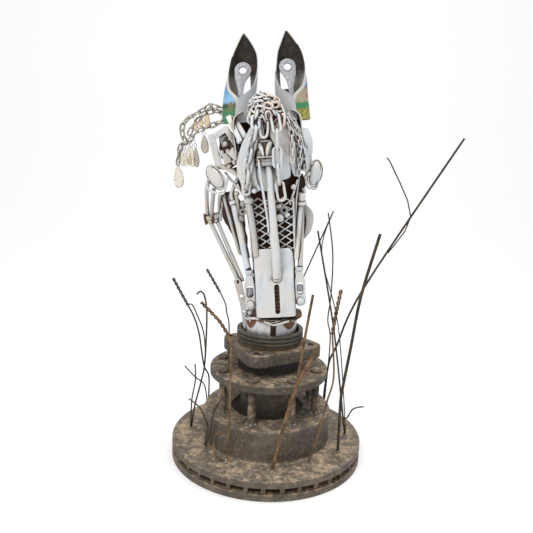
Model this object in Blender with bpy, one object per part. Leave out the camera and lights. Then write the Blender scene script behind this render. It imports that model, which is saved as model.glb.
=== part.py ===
"""Horse head welded from scrap steel, on a stack of truck brake parts.

Places are in millimetres and become metres when a mesh is made. The base stands on
the floor around the disc's axis, at x = y = 0 while the pieces are made. The head has
a frame of its own, as u to the right, v to the back and w up, which leans a little to
the left on the base. Pieces are built from the base up, and each one is fitted round
those built before it. Last, the two frames move together until the origin is on the
floor below the middle of the whole part.
"""
import math

import bmesh
import bpy
from mathutils import Matrix, Vector
from mathutils.bvhtree import BVHTree

for leftover in list(bpy.data.objects):
    bpy.data.objects.remove(leftover, do_unlink=True)

MM = 0.001
# Pieces that touch are placed a gap apart. A piece that is cut to fit round another keeps
# the smaller fit clearance, so that pieces placed a gap apart aren't cut at all.
GAP = 0.3
FIT = 0.24
# How far a cutter reaches past what it cuts.
CUT_MARGIN = 5.0

# Brake disc
DISC_RADIUS = 160.0
DISC_HEIGHT = 32.0
DISC_VANES = 36
VANE_THICKNESS = 6.0
VENT_HEIGHT = 9.5
RIM_CHAMFER = 1.5
HAT_RADIUS = 106.0
HAT_HEIGHT = 52.0
HAT_WALL = 8.0
HAT_TOP_WALL = 9.0
HAT_BORE_RADIUS = 60.0
RING_EDGE = 4.0
HAT_TOP = DISC_HEIGHT + HAT_HEIGHT

# Wheel hub on its eight studs
FLANGE_RADIUS = 98.0
FLANGE_THICKNESS = 13.0
STUD_LENGTH = 58.0
STUD_RADIUS = 6.0
STUD_EDGE = 15.5
STUD_CIRCLE_RADIUS = FLANGE_RADIUS - STUD_EDGE
STUD_COUNT = 8
STUD_TURN = -17.0
STUD_HEAD_RADIUS = 9.3
STUD_HEAD_HEIGHT = 6.0
WELD_HEIGHT = 5.0
BORE_CLEARANCE = 14.0
BARREL_RADIUS = HAT_BORE_RADIUS - BORE_CLEARANCE
BARREL_DEPTH = 22.0
BOSS_RADIUS = 52.0
BOSS_HEIGHT = 21.5
FLANGE_BOTTOM = HAT_TOP + STUD_LENGTH
FLANGE_TOP = FLANGE_BOTTOM + FLANGE_THICKNESS
BOSS_TOP = FLANGE_TOP + BOSS_HEIGHT

# Bearing carrier and collar
CARRIER_RADIUS = 63.0
CARRIER_THICKNESS = 20.0
EAR_HALF_ANGLE = 20.0
EAR_REACHES = {-8.0: 22.0, -106.0: 20.0, 165.0: 16.5, 74.0: 20.0}
EAR_HOLE_RADIUS = 5.5
EAR_HOLE_INSET = 6.0
CARRIER_TOP = BOSS_TOP + GAP + CARRIER_THICKNESS
COLLAR_RADIUS = 55.0
COLLAR_HEIGHT = 24.0
COLLAR_WALL = 7.0
COLLAR_FLOOR = 6.0
GROOVE_COUNT = 3
GROOVE_DEPTH = 3.5
GROOVE_WIDTH = 2.4
COLLAR_TOP = CARRIER_TOP + GAP + COLLAR_HEIGHT

# Chin cup and lip
CUP_RADIUS = 44.0
CUP_WALL = 3.0
CUP_STAND = 15.5
CUP_SLOT_WIDTH = 9.0
LIP_HALF_WIDTH = 42.0
LIP_DEPTH = 90.0
LIP_THICKNESS = 3.0
LIP_WAVE = 6.0

# Frame of the head
HEAD_LEAN = math.radians(4.9)
HEAD_SHIFT = 10.0
HEAD_FOOT = COLLAR_TOP + CUP_STAND + LIP_THICKNESS
SKULL_FRONT = -31.0
SHEET = 2.5

# Muzzle
NOSE_HALF_WIDTH = 31.0
NOSE_FLANGE = 22.0
NOSE_FRONT = -50.0
NOSE_SLOT_WIDTH = 8.0
NOSE_SLOT_BOTTOM = 18.0
NOSE_SLOT_TOP = 66.0
NOSE_TUBE_RADIUS = 6.8
NOSE_ROD_RADIUS = 1.8
MESH_CELL_WIDTH = 20.0
MESH_CELL_HEIGHT = 12.3
MESH_STRAND = 2.6
MESH_THICKNESS = 1.6
MESH_BOTTOM = 108.0
MESH_TOP = 198.0
MESH_HALF_WIDTH = 34.0
BRACKET_WIDTH = 17.0
BRACKET_THICKNESS = 9.0
BRACKET_SHOULDER = 40.0
BRACKET_NECK = 60.0
RIVET_RADIUS = 6.5

# Cheeks and jaw
STRUT_RADIUS = 5.4
VALVE_RADIUS = 4.8
CHEEK_TUBE_RADIUS = 4.8
JAW_PIPE_RADIUS = 3.4
JAW_HUB_RADIUS = 8.0

# Forehead, temples and eyes
PLATE = 3.0
BROW_FRONT = -54.0
BROW_SLOPE = 0.43
MOTOR_FOOT = 248.0
MOTOR_RADIUS = 16.5
MOTOR_LIP = 2.0
EYE_HALF_LENGTH = 19.5
EYE_HALF_WIDTH = 12.5
EYE_BULGE = 7.0
EYE_WIRE_RADIUS = 1.7
SQUARE_TUBE = 8.0

# Ears
EAR_SHEET = 1.4
EAR_LAPEL_STEP = 4.2
EAR_DEPTH = 0.8
EAR_BACK = 6.0
EAR_WINDOW = {-1: (-45.0, -24.0, 352.0, 404.0), 1: (23.0, 43.5, 356.0, 406.0)}
EAR_LEVER_LEAN = 0.29
TONGUE_THICKNESS = 3.0
TONGUE_RADIUS = 13.0
TONGUE_HOLE_RADIUS = 5.0
TONGUE_FOOT = 4.5
EAR_LEVER_TOPS = {-1: (-34.0, 4.0, 394.0), 1: (34.5, 4.0, 396.0)}
EAR_LEVER_FEET = {-1: (-6.0, -66.0), 1: (5.0, -66.0)}

# Chains, glass and wires
HEAVY_WIRE = 4.6
HEAVY_PITCH = 16.8
HEAVY_WIDTH = 15.0
HEAVY_TURN = 0.6
LONG_WIRE = 4.2
LONG_PITCH = 24.0
LONG_WIDTH = 16.0
FINE_WIRE = 2.6
FINE_PITCH = 15.0
FINE_WIDTH = 8.6
FINE_TURN = 0.3
LINK_BITE = 0.3
DROP_LENGTH = 35.0
DROP_RADIUS = 8.6
THIN_WIRE_RADIUS = 1.1
GRASS_WIRE_RADIUS = 1.4
THICK_ROD_RADIUS = 2.8
WELD_RADIUS = 4.5

# Shapes drawn as rows, and as sections from one edge of the sheet to the other.
# A nose row is height, share of the half width and set back of the front.
NOSE_ROWS = [
    (13.0, 1.0, 0.0),
    (40.0, 1.0, 0.0),
    (66.0, 0.98, 0.0),
    (78.0, 1.0, 4.0),
    (88.0, 1.03, 8.0),
    (112.0, 1.0, 8.5),
    (121.0, 0.80, 9.5),
]
# Across the nose: share of the half width, share of the flange's depth.
NOSE_SECTION = [(-1.0, 1.0), (-1.0, 0.32), (-0.9, 0.07), (-0.7, 0.0), (0.0, -0.04)]
NOSE_SECTION += [(-x, y) for x, y in reversed(NOSE_SECTION[:-1])]
# A skull row is height, half width and the place of the back.
SKULL_ROWS = [
    (0.0, 29.0, 26.0),
    (60.0, 31.0, 32.0),
    (120.0, 32.0, 42.0),
    (190.0, 38.0, 62.0),
    (250.0, 47.0, 80.0),
    (315.0, 50.0, 56.0),
    (330.0, 36.0, 30.0),
]
# Across the skull: share of the half width, share of the depth.
SKULL_SECTION = [(-1.0, 0.0), (-1.0, 0.5), (-0.86, 0.8), (-0.45, 0.97), (0.0, 1.0)]
SKULL_SECTION += [(-x, y) for x, y in reversed(SKULL_SECTION[:-1])]
# An ear row is height, middle, radius of the roll and half its sweep in degrees.
EAR_ROWS = {
    -1: [
        (315.0, -45.0, 25.0, 188.0),
        (347.0, -42.0, 24.5, 184.0),
        (366.0, -39.0, 23.5, 140.0),
        (385.0, -35.0, 22.0, 112.0),
        (402.0, -32.0, 20.5, 98.0),
        (418.0, -30.0, 17.0, 92.0),
        (447.0, -30.0, 1.2, 85.0),
    ],
    1: [
        (315.0, 42.0, 24.0, 188.0),
        (347.0, 40.0, 24.0, 184.0),
        (366.0, 39.0, 24.0, 140.0),
        (385.0, 39.0, 22.5, 112.0),
        (402.0, 39.5, 20.5, 98.0),
        (418.0, 38.5, 17.0, 92.0),
        (448.0, 35.0, 1.2, 85.0),
    ],
}

COLOURS = {
    "iron": ((0.10, 0.085, 0.07), 0.85, 0.4),
    "collar": ((0.075, 0.075, 0.065), 0.7, 0.5),
    "white": ((0.72, 0.72, 0.70), 0.55, 0.1),
    "valve": ((0.30, 0.31, 0.32), 0.5, 0.4),
    "rust": ((0.20, 0.085, 0.04), 0.9, 0.2),
    "wire": ((0.11, 0.09, 0.075), 0.75, 0.5),
    "silver": ((0.50, 0.48, 0.44), 0.4, 0.8),
    "glass": ((0.75, 0.72, 0.64), 0.1, 0.0),
    "ear": ((0.42, 0.42, 0.40), 0.5, 0.3),
}
BUILT = []


def add_axis(name, location, lean=0.0):
    """An empty that pieces are parented to."""
    axis = bpy.data.objects.new(name, None)
    bpy.context.collection.objects.link(axis)
    axis.location = Vector(location) * MM
    axis.rotation_euler = (0.0, lean, 0.0)
    return axis


BASE = add_axis("base_axis", (0.0, 0.0, 0.0))
HEAD = add_axis("head_axis", (HEAD_SHIFT, 0.0, HEAD_FOOT), -HEAD_LEAN)
bpy.context.view_layer.update()


def material(kind):
    """The painted or bare metal of one kind, made once."""
    shade = bpy.data.materials.get(kind)
    if shade is None:
        colour, roughness, metallic = COLOURS[kind]
        shade = bpy.data.materials.new(kind)
        shade.use_nodes = True
        shader = shade.node_tree.nodes["Principled BSDF"]
        shader.inputs["Base Color"].default_value = (*colour, 1.0)
        shader.inputs["Roughness"].default_value = roughness
        shader.inputs["Metallic"].default_value = metallic
    return shade


def object_from(bm, name, axis):
    """Turn a bmesh in millimetres into an object in metres."""
    bmesh.ops.scale(bm, vec=(MM, MM, MM), verts=bm.verts)
    bmesh.ops.recalc_face_normals(bm, faces=bm.faces)
    mesh = bpy.data.meshes.new(name)
    bm.to_mesh(mesh)
    bm.free()
    made = bpy.data.objects.new(name, mesh)
    bpy.context.collection.objects.link(made)
    made.parent = axis
    return made


def plane_faces(bm):
    """Split bent faces into triangles, and join only those that lie in one plane."""
    bmesh.ops.triangulate(bm, faces=bm.faces)
    bmesh.ops.dissolve_limit(
        bm, angle_limit=math.radians(0.05), verts=bm.verts, edges=bm.edges,
        use_dissolve_boundaries=False,
    )


def settle(piece):
    """Replace a piece's mesh by what its modifiers make of it."""
    bpy.context.view_layer.update()
    depsgraph = bpy.context.evaluated_depsgraph_get()
    result = bpy.data.meshes.new_from_object(piece.evaluated_get(depsgraph))
    piece.modifiers.clear()
    piece.data = result


def boolean(piece, others, operation):
    """Add other solids to a piece, or cut them out, and use them up."""
    for other in others:
        other.hide_render = True
        other.display_type = "WIRE"
        step = piece.modifiers.new(operation, "BOOLEAN")
        step.operation = operation
        step.solver = "EXACT"
        step.object = other
    settle(piece)
    for other in others:
        bpy.data.objects.remove(other, do_unlink=True)


def grown(piece):
    """A copy of a piece that is fatter all round by the fit clearance."""
    bm = bmesh.new()
    bm.from_mesh(piece.data)
    bm.normal_update()
    moves = [(v, v.normal * min(v.calc_shell_factor(), 3.0) * FIT) for v in bm.verts]
    for vert, move in moves:
        vert.co += move * MM
    mesh = bpy.data.meshes.new("grown")
    bm.to_mesh(mesh)
    bm.free()
    copy = bpy.data.objects.new("grown", mesh)
    bpy.context.collection.objects.link(copy)
    copy.parent = piece.parent
    return copy


def surface_tree(thing):
    """The surface of an object, in world space, for a test of contact."""
    bm = bmesh.new()
    bm.from_mesh(thing.data)
    bm.transform(thing.matrix_world)
    tree = BVHTree.FromBMesh(bm)
    bm.free()
    return tree


def keep_main_body(piece):
    """Drop the offcuts that a cut leaves, and keep the largest body."""
    bm = bmesh.new()
    bm.from_mesh(piece.data)
    bmesh.ops.remove_doubles(bm, verts=bm.verts, dist=0.002 * MM)
    bmesh.ops.dissolve_degenerate(bm, edges=bm.edges, dist=0.002 * MM)
    left = set(bm.faces)
    bodies = []
    while left:
        body = []
        edge_of_body = [left.pop()]
        while edge_of_body:
            face = edge_of_body.pop()
            body.append(face)
            for edge in face.edges:
                for other in edge.link_faces:
                    if other in left:
                        left.remove(other)
                        edge_of_body.append(other)
        bodies.append(body)
    bodies.sort(key=lambda faces: sum(face.calc_area() for face in faces))
    for body in bodies[:-1]:
        bmesh.ops.delete(bm, geom=body, context="FACES")
    plane_faces(bm)
    bm.to_mesh(piece.data)
    bm.free()


def finish(piece, kind, smooth_angle=35.0):
    """Fit a piece round its neighbours, paint it and count it as built."""
    keep_main_body(piece)
    bpy.context.view_layer.update()
    for other in BUILT:
        cutter = grown(other)
        bpy.context.view_layer.update()
        if surface_tree(piece).overlap(surface_tree(cutter)):
            boolean(piece, [cutter], "DIFFERENCE")
            keep_main_body(piece)
        else:
            bpy.data.objects.remove(cutter, do_unlink=True)
    piece.data.materials.clear()
    piece.data.materials.append(material(kind))
    piece.data.shade_smooth()
    piece.data.set_sharp_from_angle(angle=math.radians(smooth_angle))
    BUILT.append(piece)
    return piece


def turned(profile, sides, centre=(0.0, 0.0)):
    """Spin a closed profile of (radius, height) points about a vertical axis."""
    bm = bmesh.new()
    ring = [bm.verts.new((radius, 0.0, height)) for radius, height in profile]
    loop = [bm.edges.new((a, b)) for a, b in zip(ring, ring[1:] + ring[:1])]
    on_axis = [edge for edge in loop if max(v.co.x for v in edge.verts) < GAP * MM]
    bmesh.ops.delete(bm, geom=on_axis, context="EDGES")
    bmesh.ops.spin(
        bm, geom=bm.verts[:] + bm.edges[:], cent=(0, 0, 0), axis=(0, 0, 1),
        angle=math.tau, steps=sides, use_merge=True,
    )
    bmesh.ops.remove_doubles(bm, verts=bm.verts, dist=GAP * MM)
    bmesh.ops.translate(bm, vec=(*centre, 0.0), verts=bm.verts)
    return bm


def slab(outline, thickness, plane=Matrix()):
    """Extrude a flat outline by a thickness, then lay it in a plane."""
    bm = bmesh.new()
    face = bm.faces.new([bm.verts.new((x, y, 0.0)) for x, y in outline])
    grown_part = bmesh.ops.extrude_face_region(bm, geom=[face])["geom"]
    top = [item for item in grown_part if isinstance(item, bmesh.types.BMVert)]
    bmesh.ops.translate(bm, vec=(0.0, 0.0, thickness), verts=top)
    bmesh.ops.transform(bm, matrix=plane, verts=bm.verts)
    return bm


def facing(point, right, up):
    """A plane at a point, from its right and up directions; its depth faces back."""
    across = Vector(right).normalized()
    back = across.cross(Vector(up)).normalized() * -1.0
    rise = across.cross(back)
    return Matrix.Translation(point) @ Matrix((across, rise, back)).transposed().to_4x4()


def upright(front, turn=0.0, centre=0.0):
    """The upright plane of a plate, front face first, turned about a vertical."""
    along = Vector((math.cos(turn), math.sin(turn), 0.0))
    return facing((centre, front, 0.0), along, (0.0, 0.0, 1.0))


def sheet(columns, rows, place, thickness):
    """A bent sheet: a grid whose vertices are placed by a function of two shares."""
    bm = bmesh.new()
    bmesh.ops.create_grid(bm, x_segments=columns, y_segments=rows, size=0.5)
    for vert in bm.verts:
        vert.co = place(vert.co.x + 0.5, vert.co.y + 0.5)
    bmesh.ops.recalc_face_normals(bm, faces=bm.faces)
    bmesh.ops.solidify(bm, geom=bm.faces[:], thickness=thickness)
    return bm


def between(stations, share):
    """Values read at a share of the way along a list of rows."""
    place = min(max(share, 0.0), 1.0) * (len(stations) - 1)
    row = min(int(place), len(stations) - 2)
    return [a + (b - a) * (place - row) for a, b in zip(stations[row], stations[row + 1])]


def rods(name, axis, runs, sides=6, closed=False):
    """Round bars as one object; each run is its points, radius and end share."""
    curve = bpy.data.curves.new(name, "CURVE")
    curve.dimensions = "3D"
    curve.bevel_depth = MM
    curve.bevel_resolution = (sides - 4) // 2
    curve.use_fill_caps = True
    for points, radii in runs:
        spline = curve.splines.new("POLY")
        spline.points.add(len(points) - 1)
        spline.use_cyclic_u = closed
        for number, (spot, point) in enumerate(zip(spline.points, points)):
            spot.co = (*(Vector(point) * MM), 1.0)
            spot.radius = radii[number] if isinstance(radii, (list, tuple)) else radii
            spot.tilt = math.pi / 4 if closed else 0.0
    holder = bpy.data.objects.new(name, curve)
    bpy.context.collection.objects.link(holder)
    bpy.context.view_layer.update()
    depsgraph = bpy.context.evaluated_depsgraph_get()
    mesh = bpy.data.meshes.new_from_object(holder.evaluated_get(depsgraph))
    bpy.data.objects.remove(holder, do_unlink=True)
    made = bpy.data.objects.new(name, mesh)
    bpy.context.collection.objects.link(made)
    made.parent = axis
    return made


def fused(name, axis, runs, sides=6, closed=False):
    """Bars that touch each other, joined into one body."""
    first = rods(name, axis, runs[:1], sides, closed)
    others = [rods(name + "_more", axis, [run], sides, closed) for run in runs[1:]]
    boolean(first, others, "UNION")
    keep_main_body(first)
    return first


def walk(path, count):
    """The middles and directions of even steps that fill a path."""
    points = [Vector(point) for point in path]
    lengths = [(b - a).length for a, b in zip(points, points[1:])]
    for number in range(count):
        way = (number + 0.5) * sum(lengths) / count
        leg = 0
        while way > lengths[leg] and leg < len(lengths) - 1:
            way -= lengths[leg]
            leg += 1
        along = (points[leg + 1] - points[leg]).normalized()
        yield number, points[leg] + along * way, along


def chain_runs(path, pitch, wire, width, turn):
    """Closed six-cornered runs for a chain's links, each a quarter turn from the last."""
    length = sum((Vector(b) - Vector(a)).length for a, b in zip(path, path[1:]))
    count = round(length / pitch)
    reach = (length / count + wire - LINK_BITE * wire) / 2
    half = (width - wire) / 2
    long = reach - half / 2
    ring = [(reach, 0.0), (long, half), (-long, half)]
    ring += [(-x, -y) for x, y in ring]
    runs = []
    for number, centre, along in walk(path, count):
        side = along.cross(Vector((0.0, 1.0, 0.0)))
        if side.length < 0.2:
            side = along.cross(Vector((1.0, 0.0, 0.0)))
        side.normalize()
        roll = Matrix.Rotation(turn + number * math.pi / 2, 3, along)
        across = roll @ side
        runs.append(([centre + along * x + across * y for x, y in ring], wire / 2))
    return runs


def polar(radius, degrees):
    """A point on a circle about the base's axis."""
    angle = math.radians(degrees)
    return radius * math.cos(angle), radius * math.sin(angle)


# Base


def make_brake_disc():
    """Vented disc with its raised hat, hollow below."""
    inner = HAT_RADIUS - HAT_WALL
    profile = [
        (inner, 0.0),
        (DISC_RADIUS, 0.0),
        (DISC_RADIUS, DISC_HEIGHT),
        (HAT_RADIUS, DISC_HEIGHT),
        (HAT_RADIUS, HAT_TOP - RIM_CHAMFER),
        (HAT_RADIUS - RIM_CHAMFER, HAT_TOP),
        (HAT_BORE_RADIUS, HAT_TOP),
        (HAT_BORE_RADIUS, HAT_TOP - HAT_TOP_WALL),
        (inner, HAT_TOP - HAT_TOP_WALL),
    ]
    disc = object_from(turned(profile, DISC_VANES), "brake_disc", BASE)
    vents = bmesh.new()
    near = inner - CUT_MARGIN
    far = DISC_RADIUS + CUT_MARGIN
    for number in range(DISC_VANES):
        middle = math.tau * (number + 0.5) / DISC_VANES
        outline = []
        for radius, side in ((near, -1), (far, -1), (far, 1), (near, 1)):
            half = math.pi / DISC_VANES * radius - VANE_THICKNESS / 2
            outline.append((radius, side * half))
        cutter = slab(outline, VENT_HEIGHT, Matrix.Rotation(middle, 4, "Z"))
        bmesh.ops.translate(
            cutter, vec=(0, 0, (DISC_HEIGHT - VENT_HEIGHT) / 2), verts=cutter.verts
        )
        mesh = bpy.data.meshes.new("vent")
        cutter.to_mesh(mesh)
        vents.from_mesh(mesh)
        cutter.free()
    boolean(disc, [object_from(vents, "vents", BASE)], "DIFFERENCE")
    finish(disc, "iron")


def make_studs():
    """Eight round studs that carry the flange, each in a blob of weld."""
    foot = HAT_TOP + GAP
    seat = FLANGE_TOP + GAP
    profile = [
        (0.0, foot),
        (STUD_HEAD_RADIUS, foot),
        (STUD_RADIUS, foot + WELD_HEIGHT),
        (STUD_RADIUS, seat),
        (STUD_HEAD_RADIUS, seat),
        (STUD_HEAD_RADIUS, seat + STUD_HEAD_HEIGHT),
        (0.0, seat + STUD_HEAD_HEIGHT),
    ]
    for number in range(STUD_COUNT):
        centre = polar(STUD_CIRCLE_RADIUS, STUD_TURN + number * 360.0 / STUD_COUNT)
        stud = object_from(turned(profile, 8, centre), f"hub_stud_{number + 1}", BASE)
        finish(stud, "iron")


def make_wheel_hub():
    """Flange with the boss above it and the barrel down into the disc's bore."""
    profile = [
        (0.0, HAT_TOP - BARREL_DEPTH),
        (BARREL_RADIUS, HAT_TOP - BARREL_DEPTH),
        (BARREL_RADIUS, FLANGE_BOTTOM),
        (FLANGE_RADIUS, FLANGE_BOTTOM),
        (FLANGE_RADIUS, FLANGE_TOP),
        (BOSS_RADIUS, FLANGE_TOP),
        (BOSS_RADIUS, BOSS_TOP),
        (0.0, BOSS_TOP),
    ]
    finish(object_from(turned(profile, 22), "wheel_hub", BASE), "iron")


def carrier_outline():
    """A round plate with four ears, as a radius that swells at each ear."""
    outline = []
    for step in range(0, 360, 12):
        swell = 0.0
        for ear, reach in EAR_REACHES.items():
            off = (step - ear + 180.0) % 360.0 - 180.0
            swell = max(swell, reach * math.exp(-((off / EAR_HALF_ANGLE) ** 2)))
        outline.append(polar(CARRIER_RADIUS + swell, step))
    return outline


def make_bearing_carrier():
    """Thick plate with a hole in each ear."""
    lift = Matrix.Translation((0.0, 0.0, BOSS_TOP + GAP))
    plate = slab(carrier_outline(), CARRIER_THICKNESS, lift)
    carrier = object_from(plate, "bearing_carrier", BASE)
    cutters = []
    for ear in EAR_REACHES:
        low = BOSS_TOP - CUT_MARGIN
        high = CARRIER_TOP + CUT_MARGIN
        hole = [(0.0, low), (EAR_HOLE_RADIUS, low), (EAR_HOLE_RADIUS, high), (0.0, high)]
        centre = polar(CARRIER_RADIUS + EAR_HOLE_INSET, ear)
        cutters.append(object_from(turned(hole, 8, centre), "ear_hole", BASE))
    boolean(carrier, cutters, "DIFFERENCE")
    finish(carrier, "iron")


def make_collar():
    """Ribbed collar, open at the top like a piston turned over."""
    foot = CARRIER_TOP + GAP
    profile = [(0.0, foot), (COLLAR_RADIUS - 2.0, foot)]
    rib = (COLLAR_HEIGHT - GROOVE_COUNT * GROOVE_WIDTH) / (GROOVE_COUNT + 1)
    height = foot
    for number in range(GROOVE_COUNT):
        height += rib
        outer = COLLAR_RADIUS if number else COLLAR_RADIUS - 2.0
        profile.append((outer, height))
        profile.append((COLLAR_RADIUS - GROOVE_DEPTH, height))
        height += GROOVE_WIDTH
        profile.append((COLLAR_RADIUS - GROOVE_DEPTH, height))
        profile.append((COLLAR_RADIUS, height))
    profile.append((COLLAR_RADIUS, COLLAR_TOP))
    profile.append((COLLAR_RADIUS - COLLAR_WALL, COLLAR_TOP))
    profile.append((COLLAR_RADIUS - COLLAR_WALL, foot + COLLAR_FLOOR))
    profile.append((0.0, foot + COLLAR_FLOOR))
    finish(object_from(turned(profile, 16), "ribbed_collar", BASE), "collar")


def make_lip_plate():
    """Wavy plate that is the lower lip and carries the head."""
    def place(across, back):
        front = 1.0 - back
        narrow = 1.0 - 0.5 * abs(2.0 * back - 1.0) ** 3
        u = (2.0 * across - 1.0) * LIP_HALF_WIDTH * narrow
        v = (back - 0.56) * LIP_DEPTH
        bow = (2.0 * across - 1.0) ** 2
        return Vector((u, v, LIP_WAVE * bow * (0.3 + 0.7 * front)))
    finish(object_from(sheet(6, 4, place, LIP_THICKNESS), "lip_plate", HEAD), "rust")


def make_chin_cup():
    """Cup that stands in the collar, with a slot at the front."""
    foot = CARRIER_TOP + GAP + COLLAR_FLOOR + GAP
    top = HEAD_FOOT + LIP_WAVE
    inner = CUP_RADIUS - CUP_WALL
    profile = [
        (0.0, foot),
        (CUP_RADIUS - 2.0, foot),
        (CUP_RADIUS, top),
        (inner, top),
        (inner - 2.0, foot + CUP_WALL),
        (0.0, foot + CUP_WALL),
    ]
    cup = object_from(turned(profile, 14), "chin_cup", BASE)
    half = CUP_SLOT_WIDTH / 2
    middle = HEAD_SHIFT / 2
    outline = [(-half, COLLAR_TOP), (half, COLLAR_TOP), (half, top + 9.0), (-half, top + 9.0)]
    slot = slab(outline, CUP_RADIUS, upright(-CUP_RADIUS - 9.0, 0.0, middle))
    boolean(cup, [object_from(slot, "cup_slot", BASE)], "DIFFERENCE")
    finish(cup, "white")


# Muzzle


def make_nose_plate():
    """Folded plate over the muzzle, with an upright slot."""
    def place(across, up):
        height, width, back = between(NOSE_ROWS, up)
        side, depth = between(NOSE_SECTION, across)
        return Vector((
            side * width * NOSE_HALF_WIDTH,
            NOSE_FRONT + back + depth * NOSE_FLANGE,
            height,
        ))
    bent = sheet(len(NOSE_SECTION) - 1, len(NOSE_ROWS) - 1, place, SHEET)
    plate = object_from(bent, "nose_plate", HEAD)
    half = NOSE_SLOT_WIDTH / 2
    outline = []
    for step in range(8):
        angle = math.pi * (step + 0.5) / 4
        end = NOSE_SLOT_TOP - half if step < 4 else NOSE_SLOT_BOTTOM + half
        outline.append((half * math.cos(angle), end + half * math.sin(angle)))
    slot = slab(outline, 15.0, upright(NOSE_FRONT - 8.0, 0.0, 3.0))
    boolean(plate, [object_from(slot, "nose_slot", HEAD)], "DIFFERENCE")
    finish(plate, "white")


def make_skull_shell():
    """Rusty sheet bent round the back of the head, open at the front."""
    def place(across, up):
        height, half, back = between(SKULL_ROWS, up)
        side, depth = between(SKULL_SECTION, across)
        return Vector((side * half, SKULL_FRONT + depth * (back - SKULL_FRONT), height))
    bent = sheet(len(SKULL_SECTION) - 1, len(SKULL_ROWS) - 1, place, SHEET)
    finish(object_from(bent, "skull_shell", HEAD), "rust")


def make_nose_mesh():
    """Expanded metal over the nose, a plate full of diamond holes."""
    half = MESH_HALF_WIDTH
    front = SKULL_FRONT - SHEET / 2 - GAP - MESH_THICKNESS
    outline = [(-half, MESH_BOTTOM), (half, MESH_BOTTOM), (half, MESH_TOP), (-half, MESH_TOP)]
    mesh = object_from(slab(outline, MESH_THICKNESS, upright(front)), "nose_mesh", HEAD)
    holes = bmesh.new()
    wide = MESH_CELL_WIDTH / 2 - MESH_STRAND * 0.8
    tall = MESH_CELL_HEIGHT / 2 - MESH_STRAND * 0.62
    row = 0
    height = MESH_BOTTOM + MESH_CELL_HEIGHT * 0.75
    while height < MESH_TOP - MESH_CELL_HEIGHT * 0.6:
        places = (-MESH_CELL_WIDTH, 0.0, MESH_CELL_WIDTH)
        if row % 2:
            places = (-MESH_CELL_WIDTH / 2, MESH_CELL_WIDTH / 2)
        for centre in places:
            diamond = [(wide, 0.0), (0.0, tall), (-wide, 0.0), (0.0, -tall)]
            outline = [(centre + x, height + y) for x, y in diamond]
            cutter = slab(outline, 3 * MESH_THICKNESS, upright(front - MESH_THICKNESS))
            hole = bpy.data.meshes.new("hole")
            cutter.to_mesh(hole)
            holes.from_mesh(hole)
            cutter.free()
        row += 1
        height += MESH_CELL_HEIGHT / 2
    boolean(mesh, [object_from(holes, "diamonds", HEAD)], "DIFFERENCE")
    finish(mesh, "white")


def make_motor():
    """Grey banded cylinder in the opening of the forehead."""
    foot = MOTOR_FOOT
    radius = MOTOR_RADIUS
    neck = radius - MOTOR_LIP
    profile = [
        (0.0, foot),
        (neck, foot),
        (radius, foot + MOTOR_LIP),
        (radius, foot + 12.0),
        (neck, foot + 14.0),
        (neck, foot + 34.0),
        (0.7 * radius, foot + 39.0),
        (0.0, foot + 39.0),
    ]
    finish(object_from(turned(profile, 12, (-5.0, -37.0)), "brow_motor", HEAD), "valve")


def make_nose_tube():
    """Tapered tube down the middle of the nose, and a thin rod beside it."""
    thick = NOSE_TUBE_RADIUS
    path = [(-2, -46, MOTOR_FOOT - GAP), (1, -54, 225), (1, -56, 200), (2, -57, 152), (4, -55, 116)]
    path.append((4, -52.5, 76))
    radii = [0.62 * thick, 0.7 * thick, 0.82 * thick, thick, thick, 0.94 * thick]
    finish(rods("nose_tube", HEAD, [(path, radii)], 8), "white")
    path = [(-15, -51, 258), (-13, -58, 231), (-6, -60, 171), (-5, -60, 150)]
    finish(rods("nose_rod", HEAD, [(path, NOSE_ROD_RADIUS)], 6), "white")


def make_nostril_bracket(name, side, foot):
    """Hinge tab with a window, a dome rivet and a collar at its neck."""
    half = BRACKET_WIDTH / 2
    middle = side * (NOSE_HALF_WIDTH + half)
    neck = foot + BRACKET_NECK
    shoulder = foot + BRACKET_SHOULDER
    front = NOSE_FRONT + 8.0
    outline = [(half, shoulder), (4.0, neck), (-4.0, neck), (-half, shoulder)]
    for step in range(5):
        angle = math.pi * (1.0 + step / 4)
        outline.append((half * math.cos(angle), foot + half + half * math.sin(angle)))
    plane = upright(front, 0.0, middle)
    bracket = object_from(slab(outline, BRACKET_THICKNESS, plane), name, HEAD)
    wide = half - 3.0
    window = [(wide, foot + 20.0), (wide, foot + 36.0), (wide - 3.0, foot + 38.5)]
    window += [(-x, y) for x, y in reversed(window)]
    hole = slab(window, 3 * BRACKET_THICKNESS, upright(front - BRACKET_THICKNESS, 0.0, middle))
    boolean(bracket, [object_from(hole, "window", HEAD)], "DIFFERENCE")
    rivet_height = foot + half
    dome = [(0.0, 1.0), (RIVET_RADIUS, 1.0), (0.8 * RIVET_RADIUS, -2.0), (0.0, -3.5)]
    rivet = turned(dome, 8)
    stand = Matrix.Translation((middle, front, rivet_height)) @ Matrix.Rotation(-math.pi / 2, 4, "X")
    bmesh.ops.transform(rivet, matrix=stand, verts=rivet.verts)
    collar = turned([(0.0, neck - 2.0), (6.8, neck - 2.0), (6.8, neck + 3.0), (0.0, neck + 3.0)], 8)
    bmesh.ops.translate(
        collar, vec=(middle, front + BRACKET_THICKNESS / 2, 0.0), verts=collar.verts
    )
    extras = [object_from(rivet, "rivet", HEAD), object_from(collar, "collar", HEAD)]
    boolean(bracket, extras, "UNION")
    finish(bracket, "white")


# Cheeks and jaw


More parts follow.
